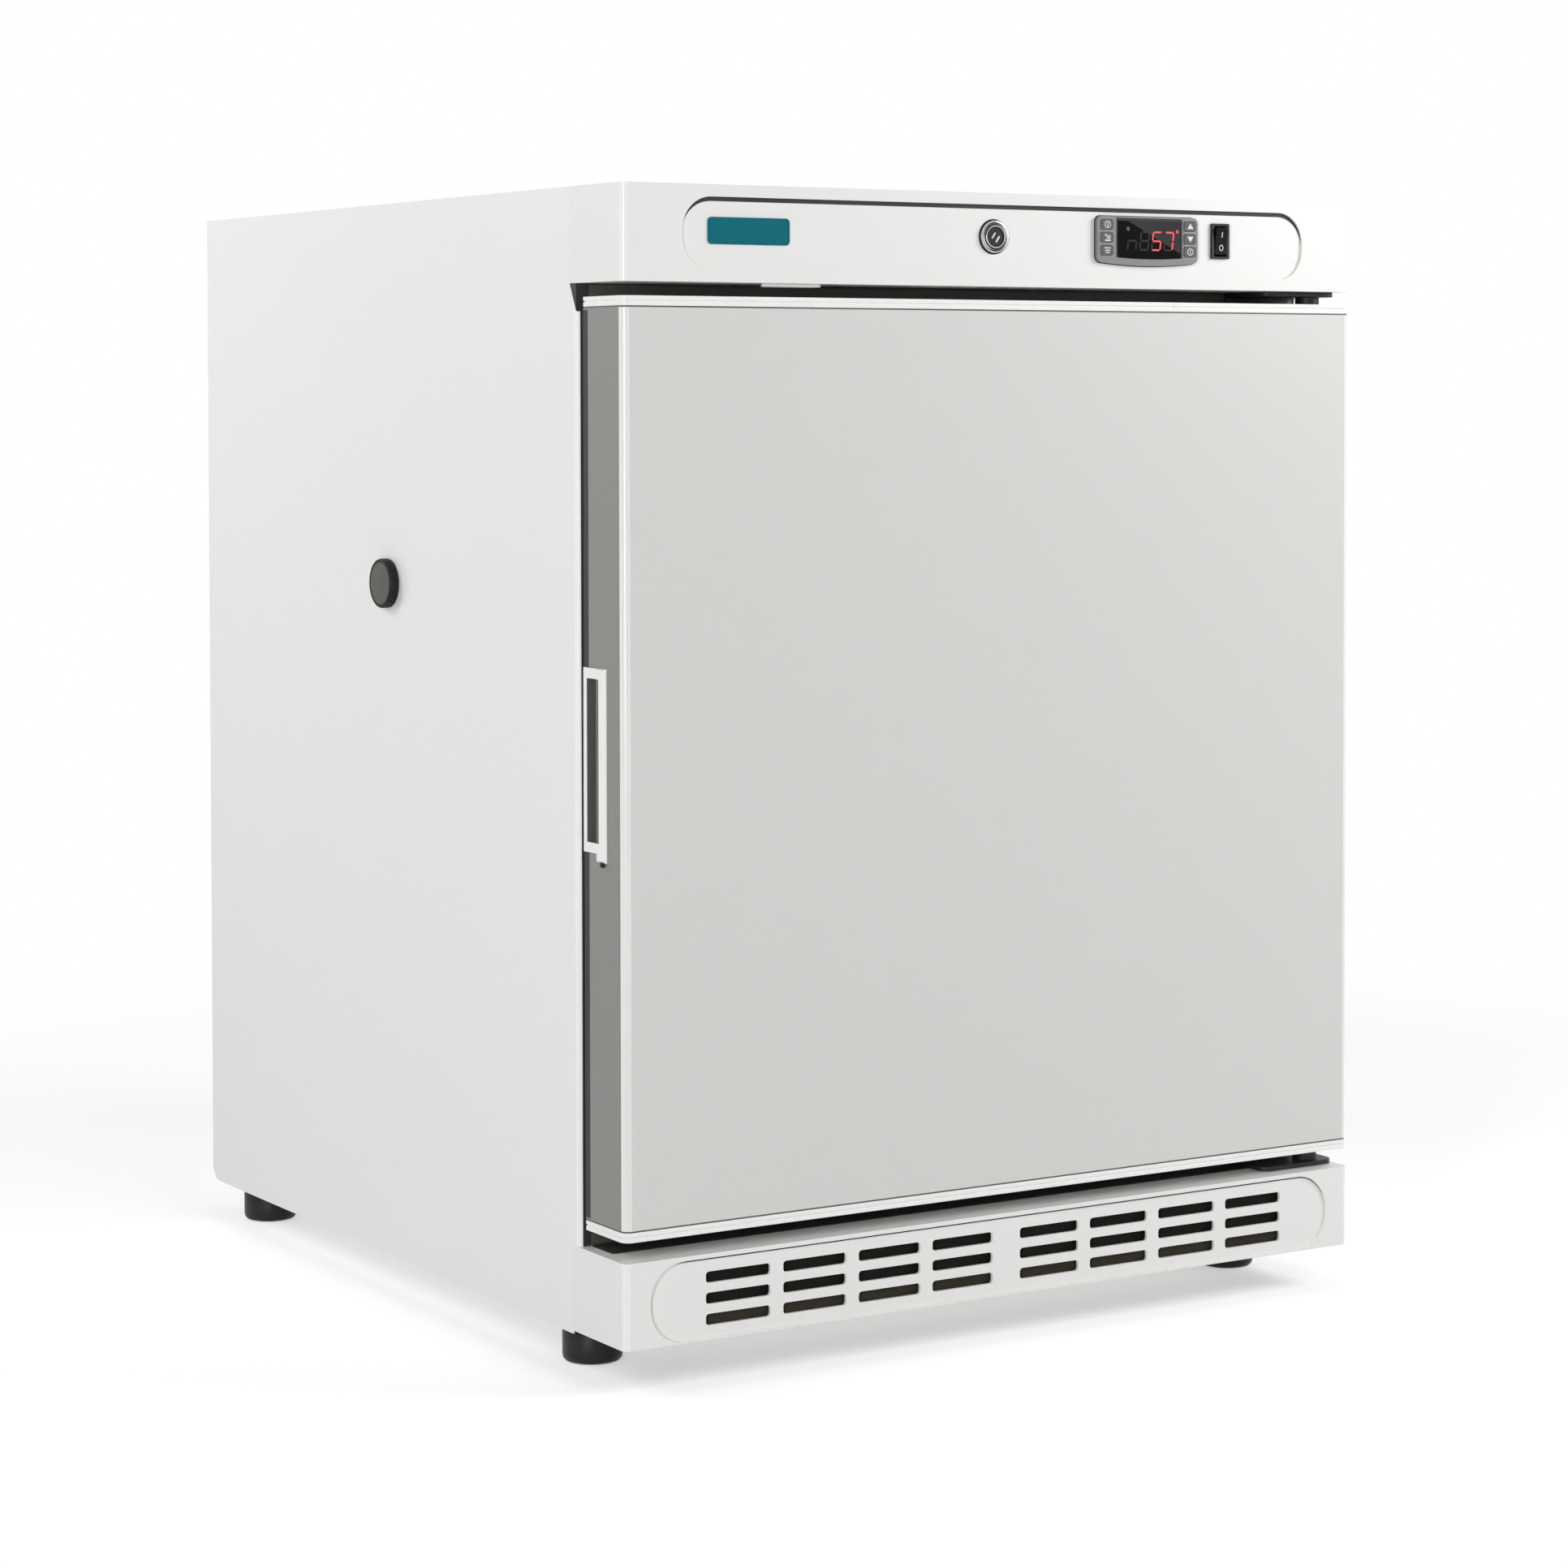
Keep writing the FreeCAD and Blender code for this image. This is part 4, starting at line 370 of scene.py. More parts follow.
for corner in ("front_left", "front_right", "rear_left", "rear_right"):
    node = corner + "_foot"
    low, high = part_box(node)
    middle = ((low.x + high.x) / 2, (low.y + high.y) / 2, 0)
    cup = [(0, 0.0012), (0.0125, 0.0012), (0.013, 0), (0.0150, 0), (0.0172, 0.0006), (0.0186, 0.0022),
           (0.019, 0.0045), (0.0190, 0.0188), (0.0186, 0.0196), (0.0178, 0.0199), (0.0172, 0.0205),
           (0.0168, 0.0268), (0.0162, 0.0278), (0.015, 0.028), (0.005, 0.028)]
    stud = [(0.005, 0.0495), (0.0045, 0.05), (0, 0.05)]
    turned(node + "_piece", cup + stud, middle, "z", black_moulding, node, (node,))


# The side, top and back sheets: zinc-coated steel, powder coated white, so
# the paint has a very fine orange peel and the folds are soft.
coated, inlet, outlet = shader_group(
    "SprayedCoat",
    (("Colour", COLOUR, (0.9, 0.9, 0.9, 1)), ("Roughness", FLOAT, 0.3), ("Peel", FLOAT, 420.0),
     ("Cloud", FLOAT, 0.02)),
    GIVES)
where = put(coated, "ShaderNodeTexCoord")
peel = put(coated, "ShaderNodeTexNoise", Vector=where.outputs["Object"], Scale=inlet.outputs["Peel"],
           Detail=2.0)
cloud = put(coated, "ShaderNodeTexNoise", Vector=where.outputs["Object"], Scale=2.4, Detail=3.0)
tone = put(coated, "ShaderNodeMix", "RGBA", A=inlet.outputs["Colour"], B=(0.45, 0.45, 0.46, 1),
           Factor=put(coated, "ShaderNodeMath", "MULTIPLY", at_0=cloud.outputs["Fac"],
                      at_1=inlet.outputs["Cloud"]).outputs[0])
rough = put(coated, "ShaderNodeMath", "ADD", at_0=inlet.outputs["Roughness"],
            at_1=spread(coated, cloud.outputs["Fac"], -0.05, 0.05))
coated.links.new(next(s for s in tone.outputs if s.enabled), outlet.inputs["Colour"])
coated.links.new(rough.outputs[0], outlet.inputs["Roughness"])
coated.links.new(peel.outputs["Fac"], outlet.inputs["Height"])

white_paint = finish("white_panel", coated, {"Colour": (0.87, 0.88, 0.87, 1), "Roughness": 0.30},
                     bump=0.00005)
for node in ("top_panel", "back_panel"):
    refined(node, 0.0004, white_paint)


def panel(name, shapes, back, front, material, body, stands_for=(), edge=0.0, lean=(0.0, 0.0),
          facing="y"):
    """Flat shapes in millimetres, each an outline and its holes, from back to front along an axis.

    Facing y their points are (x, z), facing z they are (x, y) and facing x they are (y, z).
    """
    place = {"y": (0, 2, 1), "z": (0, 1, 2), "x": (2, 0, 1)}[facing]
    verts, faces = [], []
    for loops in shapes:
        tiles = tessellate_polygon([[Vector((x, z, 0)) for x, z in loop] for loop in loops])
        corners = [point for loop in loops for point in loop]
        base, count = len(verts), len(corners)
        for deep in (front, back):
            for u, v in corners:
                local = (u / 1000, v / 1000, (deep + lean[1] * (v - lean[0])) / 1000)
                verts.append(tuple(local[axis] for axis in place))
        faces += [[base + i for i in tile] for tile in tiles]
        faces += [[base + count + i for i in reversed(tile)] for tile in tiles]
        start = base
        for loop in loops:
            for i in range(len(loop)):
                a, b = start + i, start + (i + 1) % len(loop)
                faces.append([a, b, b + count, a + count])
            start += len(loop)
    mesh = bpy.data.meshes.new(name)
    mesh.from_pydata(verts, [], faces)
    work = bmesh.new()
    work.from_mesh(mesh)
    bmesh.ops.recalc_face_normals(work, faces=work.faces)
    for face in work.faces:
        face.smooth = True
    work.to_mesh(mesh)
    work.free()
    mesh.set_sharp_from_angle(angle=math.radians(28))
    thing = fit_piece(name, mesh, material, body, stands_for)
    return round_edges(thing, edge) if edge else thing


def rounded(x, z, width, height, radius, steps=6):
    """Points round a rectangle with round corners."""
    points = []
    for side_x, side_z, start in ((1, 1, 0), (-1, 1, 90), (-1, -1, 180), (1, -1, 270)):
        for i in range(steps + 1):
            angle = math.radians(start + 90 * i / steps)
            points.append((x + side_x * (width / 2 - radius) + radius * math.cos(angle),
                           z + side_z * (height / 2 - radius) + radius * math.sin(angle)))
    return points


# A near-black finish for painted shade: dark sheets and faces put where gaps, folds and recesses fall into
# shade.
painted_shade_dark = finish("painted_shade_dark", moulded, {"Colour": (0.03, 0.03, 0.028, 1), "Roughness": 0.5},
                    bump=0.00005, Specular_IOR_Level=0.2)
fold_highlight_white = finish("fold_highlight_white", coated, {"Colour": (0.94, 0.945, 0.94, 1), "Roughness": 0.22},
                    bump=0.00003)
FOLD_FACE = -0.2478
SQUARE_ON, TURNING, FORWARD = 0.97, 0.08, -0.1
# On each side sheet's front fold the faces square to the front are painted near-black as the shade of the
# door gap, and the rounded faces are painted lighter as a highlight.
for node in ("left_side_panel", "right_side_panel"):
    sheet = refined(node, 0.0004, white_paint)
    sheet.data.materials.append(painted_shade_dark)
    sheet.data.materials.append(fold_highlight_white)
    for face in sheet.data.polygons:
        if face.center.y < FOLD_FACE and face.normal.y < FORWARD:
            face.material_index = 1 if face.normal.y < -SQUARE_ON else 2


# The top of the left sheet's front fold: a thin near-black plate on it,
# painted shade where the fold is cut back in a slope under the fascia.
panel("fascia_step_painted_shade", [[[(-253.5, 671.0), (-245.4, 671.0), (-253.5, 654.0)]]], -272.0, -280.2, painted_shade_dark,
      "cabinet", facing="x")


# The foam between the sheets and the liner, poured rigid polyurethane: pale
# yellow with small closed cells where it can be seen.
foamed, inlet, outlet = shader_group(
    "FoamCells", (("Colour", COLOUR, (0.8, 0.7, 0.45, 1)), ("Cells", FLOAT, 700.0)), GIVES)
where = put(foamed, "ShaderNodeTexCoord")
cells = put(foamed, "ShaderNodeTexVoronoi", Vector=where.outputs["Object"], Scale=inlet.outputs["Cells"])
tone = put(foamed, "ShaderNodeMix", "RGBA", A=inlet.outputs["Colour"], B=(0.5, 0.38, 0.18, 1),
           Factor=spread(foamed, cells.outputs["Distance"], 0.0, 0.5))
foamed.links.new(next(s for s in tone.outputs if s.enabled), outlet.inputs["Colour"])
foamed.links.new(spread(foamed, cells.outputs["Distance"], 0.95, 0.75), outlet.inputs["Roughness"])
foamed.links.new(cells.outputs["Distance"], outlet.inputs["Height"])

foam = finish("foam", foamed, {}, bump=0.0005)
for node in ("insulation_foam", "door_foam"):
    refined(node, 0, foam)


# The liner and its front frame: a vacuum-formed white tub with rails for the
# shelves, let into an extruded frame that the gasket seals on, painted dark
# grey as the shade in the door's gap.
liner_white = finish("liner_white", moulded, {"Colour": (0.84, 0.85, 0.85, 1), "Roughness": 0.3},
                     bump=0.00003)
frame_grey = finish("frame_grey", moulded, {"Colour": (0.085, 0.083, 0.076, 1), "Roughness": 0.5},
                    bump=0.00005)
refined("inner_liner", 0.0008, liner_white)
refined("evaporator_cover", 0.0006, liner_white)
refined("front_frame", 0.0012, frame_grey, 3)


# The control fascia: one white moulding across the top, with a shallow
# recess that holds the lock, the thermostat and the switch.
white_moulding = finish("white_moulding", moulded, {"Colour": (0.86, 0.855, 0.84, 1), "Roughness": 0.3},
                        bump=0.00003)
corner_highlight_white = finish("corner_highlight_white", moulded, {"Colour": (0.95, 0.945, 0.935, 1), "Roughness": 0.2},
                    bump=0.00002)


def paint_corner_highlights(thing):
    """The round of the two front corners of a moulding, painted a little lighter than its flats as a
    highlight.
    """
    thing.data.materials.append(corner_highlight_white)
    for face in thing.data.polygons:
        turning = TURNING < abs(face.normal.x) < SQUARE_ON
        if turning and face.normal.y < FORWARD and abs(face.center.x) > 0.27:
            face.material_index = 1


# Its two front corners take the painted highlight.
paint_corner_highlights(refined("control_fascia", 0.0007, white_moulding, 3))


# The door sensor: a thin moulded tongue, white as the fascia that it hangs
# under, in the gap over the door's top cap.
tongue = [(-180.0, -306.0), (-139.0, -306.0), (-136.5, -304.5), (-136.5, -292.5), (-139.0, -291.0),
          (-172.0, -291.0)]
panel("door_sensor_piece", [[tongue]], 671.05, 668.9, white_moulding, "cabinet",
      ("door_sensor",), edge=0.0006, facing="z")


# The recess of the fascia: a near-black strip inside its upper edge, painted
# as its line of shadow, and at its left end a bare moulded plate, blue with a
# raised rim, pressed on with its back flat on the fascia.
def crescent(width, height, radius, middle, gap, end=False):
    """The sliver inside the upper edge of a round-ended recess, or outside its left end."""
    ring = rounded(0, middle, width, height, radius, 10)
    if end:
        left = ring[len(ring) // 4:len(ring) * 3 // 4]
        return [left + [(x - gap, z) for x, z in reversed(left)]]
    upper = ring[:len(ring) // 2]
    return [upper + [(x, z - gap) for x, z in reversed(upper)]]


RECESS_FACE, LINE_BACK, LINE_FRONT = -308.5, -308.2, -308.62
panel("recess_painted_shadow", [crescent(476.4, 44.6, 20.2, 700.5, 2.9)], LINE_BACK, LINE_FRONT, painted_shade_dark,
      "cabinet")
plate_blue = finish("plate_blue", moulded,
                    {"Colour": (0.003, 0.145, 0.19, 1), "Roughness": 0.35, "Flow": 0.0},
                    bump=0.00002, Specular_IOR_Level=0.1)
panel("bare_plate", [[rounded(-190.9, 702.2, 58.0, 16.4, 2.6)]], RECESS_FACE + 0.05, RECESS_FACE - 0.7,
      plate_blue, "cabinet", edge=0.00025)
panel("bare_plate_rim", [[rounded(-190.9, 702.2, 57.4, 15.8, 2.3),
                          rounded(-190.9, 702.2, 56.2, 14.6, 1.7)]],
      RECESS_FACE - 0.65, RECESS_FACE - 0.85, plate_blue, "cabinet")


# The thermostat: a grey moulded bezel that swells along the bottom, with a
# black rim behind its edge as its painted shadow, and a black case behind the
# panel.
def swelled(x, z, width, height, radius, bulge):
    """A rounded rectangle whose bottom edge swells downward."""
    ring = rounded(x, z, width, height, radius)
    turn_at = len(ring) * 3 // 4
    ring[turn_at:turn_at] = [(x + (width - 2 * radius) * (i / 16 - 0.5), z - height / 2)
                             for i in range(1, 16)]
    return [(u, v - bulge * (1 - (2 * (u - x) / width) ** 2) if v < z else v) for u, v in ring]


bezel_grey = finish("bezel_grey", moulded, {"Colour": (0.19, 0.20, 0.20, 1), "Roughness": 0.38},
                    bump=0.00004)
bezel_line = finish("bezel_line", moulded, {"Colour": (0.42, 0.43, 0.43, 1), "Roughness": 0.35},
                    bump=0.00002)
black_plastic = finish("black_plastic", moulded, {"Colour": (0.006, 0.006, 0.007, 1), "Roughness": 0.35,
                                                 "Flow": 0.01}, bump=0.00003, Specular_IOR_Level=0.25)
BEZEL_FRONT = -311.4
WINDOW = (110.4, 703.7, 53.2, 25.6)
KEY_PLACES = {"standby": (76.4, 712.0), "menu": (76.4, 703.7), "set": (76.4, 695.4),
              "up": (143.1, 712.0), "down": (143.1, 703.7), "defrost": (143.1, 695.4)}
KEY_HOLE = (10.1, 7.5, 1.8)
key_holes = [rounded(x, z, *KEY_HOLE) for x, z in KEY_PLACES.values()]
panel("bezel_painted_shadow", [[swelled(109.2, 702.8, 81.9, 30.3, 4.2, 2.4)]], RECESS_FACE + 0.05, RECESS_FACE - 0.5,
      black_plastic, "cabinet")
panel("controller_bezel_piece",
      [[swelled(109.2, 702.8, 81.0, 29.4, 3.8, 2.4), swelled(*WINDOW, 0.9, 0.9)] + key_holes],
      RECESS_FACE - 0.45, BEZEL_FRONT, bezel_grey, "cabinet", ("controller_bezel",),
      edge=0.0004)
surrounds = [[rounded(x, z, 10.9, 8.3, 2.2), rounded(x, z, *KEY_HOLE)] for x, z in KEY_PLACES.values()]
panel("key_surrounds", surrounds, BEZEL_FRONT + 0.1, BEZEL_FRONT - 0.2, bezel_line, "cabinet")
refined("controller_body", 0.0005, black_plastic)


# The keys: six soft grey caps with white printed signs, each on its own
# spring, standing through the bezel.
def ringed(x, z, wide, tall, line):
    """An oval ring as an outline and its hole."""
    loops = []
    for shrink in (0, line):
        loops.append([(x + (wide - shrink) * math.cos(math.tau * i / 28),
                       z + (tall - shrink) * math.sin(math.tau * i / 28))
                      for i in range(28)])
    return loops


def bar(x, z, width, height):
    """A plain upright rectangle as one outline."""
    return [[(x - width / 2, z - height / 2), (x + width / 2, z - height / 2),
             (x + width / 2, z + height / 2), (x - width / 2, z + height / 2)]]


def key_sign(key, x, z):
    """The shapes of the sign on a key."""
    if key in ("standby", "defrost"):
        return [ringed(x, z, 2.45, 2.3, 0.5), bar(x, z, 0.65, 2.5)]
    if key == "menu":
        return [bar(x + 0.1, z - 1.9, 4.4, 0.9), ringed(x - 1.5, z + 1.4, 0.8, 0.8, 0.35),
                *(bar(x - 0.3 + 1.1 * i, z + 0.2, 0.55, 2.4) for i in range(3))]
    if key == "set":
        return [bar(x, z + 1.5 - 1.5 * i, 5.0 - 0.9 * i, 0.65) for i in range(3)]
    lift = 1 if key == "up" else -1
    return [[[(x - 2.5, z - 1.7 * lift), (x + 2.5, z - 1.7 * lift), (x, z + 2.0 * lift)]]]


key_grey = finish("key_grey", moulded, {"Colour": (0.085, 0.088, 0.088, 1), "Roughness": 0.5}, bump=0.00004,
                  Specular_IOR_Level=0.3)
sign_white = finish("sign_white", moulded, {"Colour": (0.75, 0.75, 0.75, 1), "Roughness": 0.5},
                    bump=0.00001)
KEY_BACK, KEY_FRONT, PRINT = -310.0, -312.2, 0.05
for key, (x, z) in KEY_PLACES.items():
    node = key + "_key"
    panel(node + "_piece", [[rounded(x, z, 9.7, 7.1, 1.6)]], KEY_BACK, KEY_FRONT, key_grey, node,
          (node,), edge=0.0004)
    panel(node + "_sign", key_sign(key, x, z), KEY_FRONT + PRINT, KEY_FRONT - PRINT, sign_white, node)


# The display: a smoked window over a black surround, with a red reading and
# the unlit bars of its digits showing faintly beside it, and a painted
# reflection: a lighter band above a slanting line across the window.
smoked, inlet, outlet = shader_group(
    "SmokedWindowPaintedReflection",
    (("Colour", COLOUR, (0, 0, 0, 1)), ("Sheen", COLOUR, (0.04, 0.04, 0.04, 1)), ("Roughness", FLOAT, 0.1)),
    GIVES)
where = put(smoked, "ShaderNodeTexCoord")
apart = put(smoked, "ShaderNodeSeparateXYZ", Vector=where.outputs["Object"])
# The painted reflection: lighter just above a slanting line, fading further above it.
slope = put(smoked, "ShaderNodeMath", "MULTIPLY_ADD", at_0=apart.outputs["X"], at_1=0.4865, at_2=-0.76030)
level = put(smoked, "ShaderNodeMath", "ADD", at_0=slope.outputs[0], at_1=apart.outputs["Z"])
above = put(smoked, "ShaderNodeMapRange", Value=level.outputs[0], From_Min=-0.0001, From_Max=0.0001)
deep = put(smoked, "ShaderNodeMapRange", Value=level.outputs[0], From_Min=0.0, From_Max=0.03, To_Min=1.0,
           To_Max=0.55)
share = put(smoked, "ShaderNodeMath", "MULTIPLY", at_0=above.outputs[0], at_1=deep.outputs[0])
tone = put(smoked, "ShaderNodeMix", "RGBA", A=inlet.outputs["Colour"], B=inlet.outputs["Sheen"],
           Factor=share.outputs[0])
smoked.links.new(next(s for s in tone.outputs if s.enabled), outlet.inputs["Colour"])
smoked.links.new(inlet.outputs["Roughness"], outlet.inputs["Roughness"])
smoked.links.new(share.outputs[0], outlet.inputs["Height"])

window_black = finish("window_black", smoked,
                      {"Colour": (0.002, 0.002, 0.002, 1), "Sheen": (0.05, 0.05, 0.05, 1),
                       "Roughness": 0.12}, bump=0.0, Specular_IOR_Level=0.08)
lit_red = finish("lit_red", moulded, {"Colour": (0.75, 0.03, 0.05, 1), "Roughness": 0.4, "Flow": 0.0},
                 bump=0.00001, Emission_Color=(1.0, 0.05, 0.08, 1), Emission_Strength=0.35)
unlit_grey = finish("unlit_grey", moulded, {"Colour": (0.022, 0.022, 0.022, 1), "Roughness": 0.4},
                    bump=0.00001, Specular_IOR_Level=0.1)
GLASS_FRONT = -311.0
panel("display_window_piece", [[swelled(WINDOW[0], WINDOW[1], 53.6, 26.0, 1.0, 0.9)]], -309.6, GLASS_FRONT,
      window_black, "cabinet", ("display_window",))
panel("window_surround", [[swelled(WINDOW[0], WINDOW[1], 53.1, 25.5, 0.9, 0.9),
                           swelled(WINDOW[0] + 0.1, WINDOW[1] - 0.7, 50.8, 23.5, 0.4, 0.9)]],
      GLASS_FRONT, GLASS_FRONT - 0.2, black_plastic, "cabinet")


def digit_bars(x, z, which):
    """Outlines of the named bars of a seven-bar digit that leans a little to the right."""
    wide, tall, thick, gap = 6.7, 11.5, 1.1, 0.2
    half = tall / 2
    ends = {"a": ((0, tall), (wide, tall)), "b": ((wide, half), (wide, tall)),
            "c": ((wide, 0), (wide, half)), "d": ((0, 0), (wide, 0)), "e": ((0, 0), (0, half)),
            "f": ((0, half), (0, tall)), "g": ((0, half), (wide, half))}
    shapes = []
    for letter in which:
        start, stop = (Vector(end) for end in ends[letter])
        along = (stop - start).normalized()
        side = Vector((-along.y, along.x)) * thick / 2
        start, stop = start + along * gap, stop - along * gap
        near, far = start + along * thick / 2, stop - along * thick / 2
        loop = (start, near - side, far - side, stop, far + side, near + side)
        shapes.append([[(x + point.x + 0.13 * point.y, z + point.y) for point in loop]])
    return shapes


FIRST_DIGIT, DIGIT_PITCH, DIGIT_FOOT = 93.0, 9.75, 696.2
lit, unlit = [ringed(133.3, 708.4, 1.15, 1.15, 0.65)], []
for place, shown in enumerate(("", "", "afgcd", "abc")):
    x = FIRST_DIGIT + DIGIT_PITCH * place
    lit += digit_bars(x, DIGIT_FOOT, shown)
    unlit += digit_bars(x, DIGIT_FOOT,
                        [letter for letter in ("abcdefg" if place else "ceg") if letter not in shown])
panel("reading", lit, GLASS_FRONT, GLASS_FRONT - 0.06, lit_red, "cabinet")
panel("unlit_bars", unlit, GLASS_FRONT, GLASS_FRONT - 0.04, unlit_grey, "cabinet")
panel("running_sign", [bar(93.6, 709.6 + 0.75 * i, 2.2, 0.4) for i in (-1, 0, 1)], GLASS_FRONT,
      GLASS_FRONT - 0.04, bezel_grey, "cabinet")


# The power switch: a black snap-in housing with a rocker on a cross pin, and
# the usual white line and ring printed on its two halves.
refined("switch_housing", 0.0004, black_plastic)
rocker_black = finish("rocker_black", moulded,
                      {"Colour": (0.004, 0.004, 0.005, 1), "Roughness": 0.4, "Flow": 0.0},
                      bump=0.00003, Specular_IOR_Level=0.12)
refined("rocker", 0.0004, rocker_black)
ROCKER_X, ROCKER_Z, ROCKER_BACK, ROCKER_FACE = 169.5, 702.9, -311.15, -311.26
panel("switch_line", [bar(ROCKER_X, ROCKER_Z + 4.2, 0.7, 3.4)], ROCKER_BACK, ROCKER_FACE, sign_white,
      "rocker", lean=(ROCKER_Z, -1.7 / 8.8))
panel("switch_ring", [ringed(ROCKER_X, ROCKER_Z - 4.3, 1.7, 2.0, 0.5)], ROCKER_BACK, ROCKER_FACE,
      sign_white, "rocker", lean=(ROCKER_Z, -0.5 / 8.8))


# The cam lock: a turned and chromed zinc case held by a nut, with black rings
# in its two grooves as painted reflection, a dark barrel face, the two bright
# lips of its key slot, and a plated tongue.
chrome = finish("chrome", drawn_metal, {"Colour": (0.60, 0.60, 0.62, 1), "Roughness": 0.12, "Mottle": 0.02},
                metallic=1.0, bump=0.000004)
LOCK_X, LOCK_Z = -10.3, 702.4
LOCK_AXIS = (LOCK_X / 1000, 0, LOCK_Z / 1000)


def metres(profile):
    """A profile in millimetres, given in metres."""
    return [(out / 1000, along / 1000) for out, along in profile]


rings = [(6.45, -309.4), (6.45, -310.9), (6.55, -311.3), (6.85, -311.5), (7.15, -311.3), (7.3, -310.8),
         (7.3, -310.0), (8.1, -310.0), (8.15, -310.5), (8.35, -310.75), (8.55, -310.5), (8.6, -310.0),
         (9.1, -310.0), (9.15, -310.7), (9.4, -311.0), (9.8, -310.9), (10.1, -310.4), (10.25, -309.6),
         (10.25, -308.45), (8.5, -308.4), (8.5, -285.4), (8.1, -285.0), (6.45, -285.0), (6.45, -309.4)]
turned("lock_body_piece", metres(rings), LOCK_AXIS, "y", chrome, "cabinet", ("lock_body",))
# Black rings laid in the case's two grooves: painted dark reflection on the chrome.
for name, inner, outer in (("lock_inner_painted_reflection", 7.28, 8.14), ("lock_outer_painted_reflection", 8.58, 9.14)):
    reflection_ring = [(inner, -309.9), (inner, -310.3), (outer, -310.3), (outer, -309.9), (inner, -309.9)]
    turned(name, metres(reflection_ring), LOCK_AXIS, "y", black_plastic, "cabinet")
seal = [(9.9, -308.4), (9.9, -308.9), (10.9, -308.9), (11.2, -308.7), (11.2, -308.4), (9.9, -308.4)]
turned("lock_seal", metres(seal), LOCK_AXIS, "y", black_plastic, "cabinet")
hexagon = [(LOCK_X + 11.5 * math.cos(math.tau * i / 6), LOCK_Z + 11.5 * math.sin(math.tau * i / 6))
           for i in range(6)]
bore = [(LOCK_X + 8.45 * math.cos(math.tau * i / 32), LOCK_Z + 8.45 * math.sin(math.tau * i / 32))
        for i in range(32)]
panel("lock_nut", [[hexagon, bore]], -302.5, -306.5, zinc, "cabinet", edge=0.0003)
barrel = [(0, -284.0), (5.8, -284.0), (6.2, -284.4), (6.2, -310.1), (0, -310.1)]
turned("lock_barrel_piece", metres(barrel), LOCK_AXIS, "y", chrome, "lock", ("lock_barrel",))
disc = [(0, -310.1), (6.25, -310.1), (6.25, -310.5), (6.0, -310.7), (0, -310.7)]
turned("lock_face", metres(disc), LOCK_AXIS, "y", black_plastic, "lock")
SLOT_LEAN = math.radians(37)


def leaned(x, z, width, height):
    """A rectangle beside the middle of the lock, turned with its key slot."""
    loop = []
    for u, v in bar(x, z, width, height)[0]:
        loop.append((LOCK_X + u * math.cos(SLOT_LEAN) + v * math.sin(SLOT_LEAN),
                     LOCK_Z - 0.4 - u * math.sin(SLOT_LEAN) + v * math.cos(SLOT_LEAN)))
    return [loop]


panel("key_slot_lips", [leaned(-1.9, 0, 1.3, 4.6), leaned(1.9, 0, 1.5, 4.8)], -310.6, -311.2, chrome,
      "lock", edge=0.0002)
refined("lock_tongue", 0.0003, zinc)


# The lower grille: a white moulding with two rows of slots, set before the
# base tray, with a dark screen and an olive strip of filter behind it.
# Its two front corners take the same painted highlight as the fascia's.
paint_corner_highlights(refined("lower_grille", 0.0007, white_moulding, 3))
screen_dark = finish("screen_dark", moulded,
                     {"Colour": (0.012, 0.011, 0.009, 1), "Roughness": 0.7, "Flow": 0.02},
                     bump=0.0001, Specular_IOR_Level=0.1)
panel("grille_screen", [[rounded(0, 54.5, 534, 47, 3)]], -302.0, -303.2, screen_dark, "cabinet")
filter_olive = finish("filter_olive", moulded,
                      {"Colour": (0.040, 0.036, 0.025, 1), "Roughness": 0.8, "Grain": 900.0},
                      bump=0.0004, Specular_IOR_Level=0.1)
panel("grille_filter", [[rounded(0, 37.5, 520, 13, 1)]], -303.1, -304.4, filter_olive, "cabinet")
GRILLE_RECESS = (522.8, 49.2, 23.0, 53.7)
# A near-black sliver inside the upper edge of the grille's recess and a grey sliver at its left end:
# painted shadow lines.
panel("grille_recess_painted_shadow", [crescent(*GRILLE_RECESS, 1.2)], LINE_BACK, LINE_FRONT, painted_shade_dark, "cabinet")
end_shade = finish("end_shade", moulded, {"Colour": (0.42, 0.415, 0.40, 1), "Roughness": 0.5}, bump=0.00003)
panel("grille_recess_end_painted_shadow", [crescent(*GRILLE_RECESS, 0.5, end=True)], -309.6, -310.04, end_shade,
      "cabinet")
# A near-black strip over the top of the grille under the door: painted shade.
panel("grille_top_painted_shade", [[rounded(0, -266.8, 544, 28.4, 3)]], 80.9, 81.35, painted_shade_dark, "cabinet",
      facing="z")


# The door: a folded sheet sprayed warm grey between two white caps, darker
# on its folded edges and painted lighter on its rounded front corners as a
# highlight, with a vacuum-formed liner on its back.
door_paint = finish("door_paint", coated, {"Colour": (0.70, 0.69, 0.675, 1), "Roughness": 0.30},
                    bump=0.00005)
edge_paint = finish("door_edge", coated, {"Colour": (0.235, 0.24, 0.225, 1), "Roughness": 0.45},
                    bump=0.00005)
door_corner_highlight = finish("door_corner_painted_highlight", coated, {"Colour": (0.87, 0.865, 0.855, 1), "Roughness": 0.22},
                    bump=0.00003)
skin = refined("door_skin", 0.0003, door_paint)
skin.data.materials.append(edge_paint)
skin.data.materials.append(door_corner_highlight)
# Flat side faces take the darker edge paint, rounded front corners the painted highlight.
for face in skin.data.polygons:
    if abs(face.normal.x) > SQUARE_ON:
        face.material_index = 1
    elif abs(face.normal.x) > TURNING and face.normal.y < FORWARD:
        face.material_index = 2
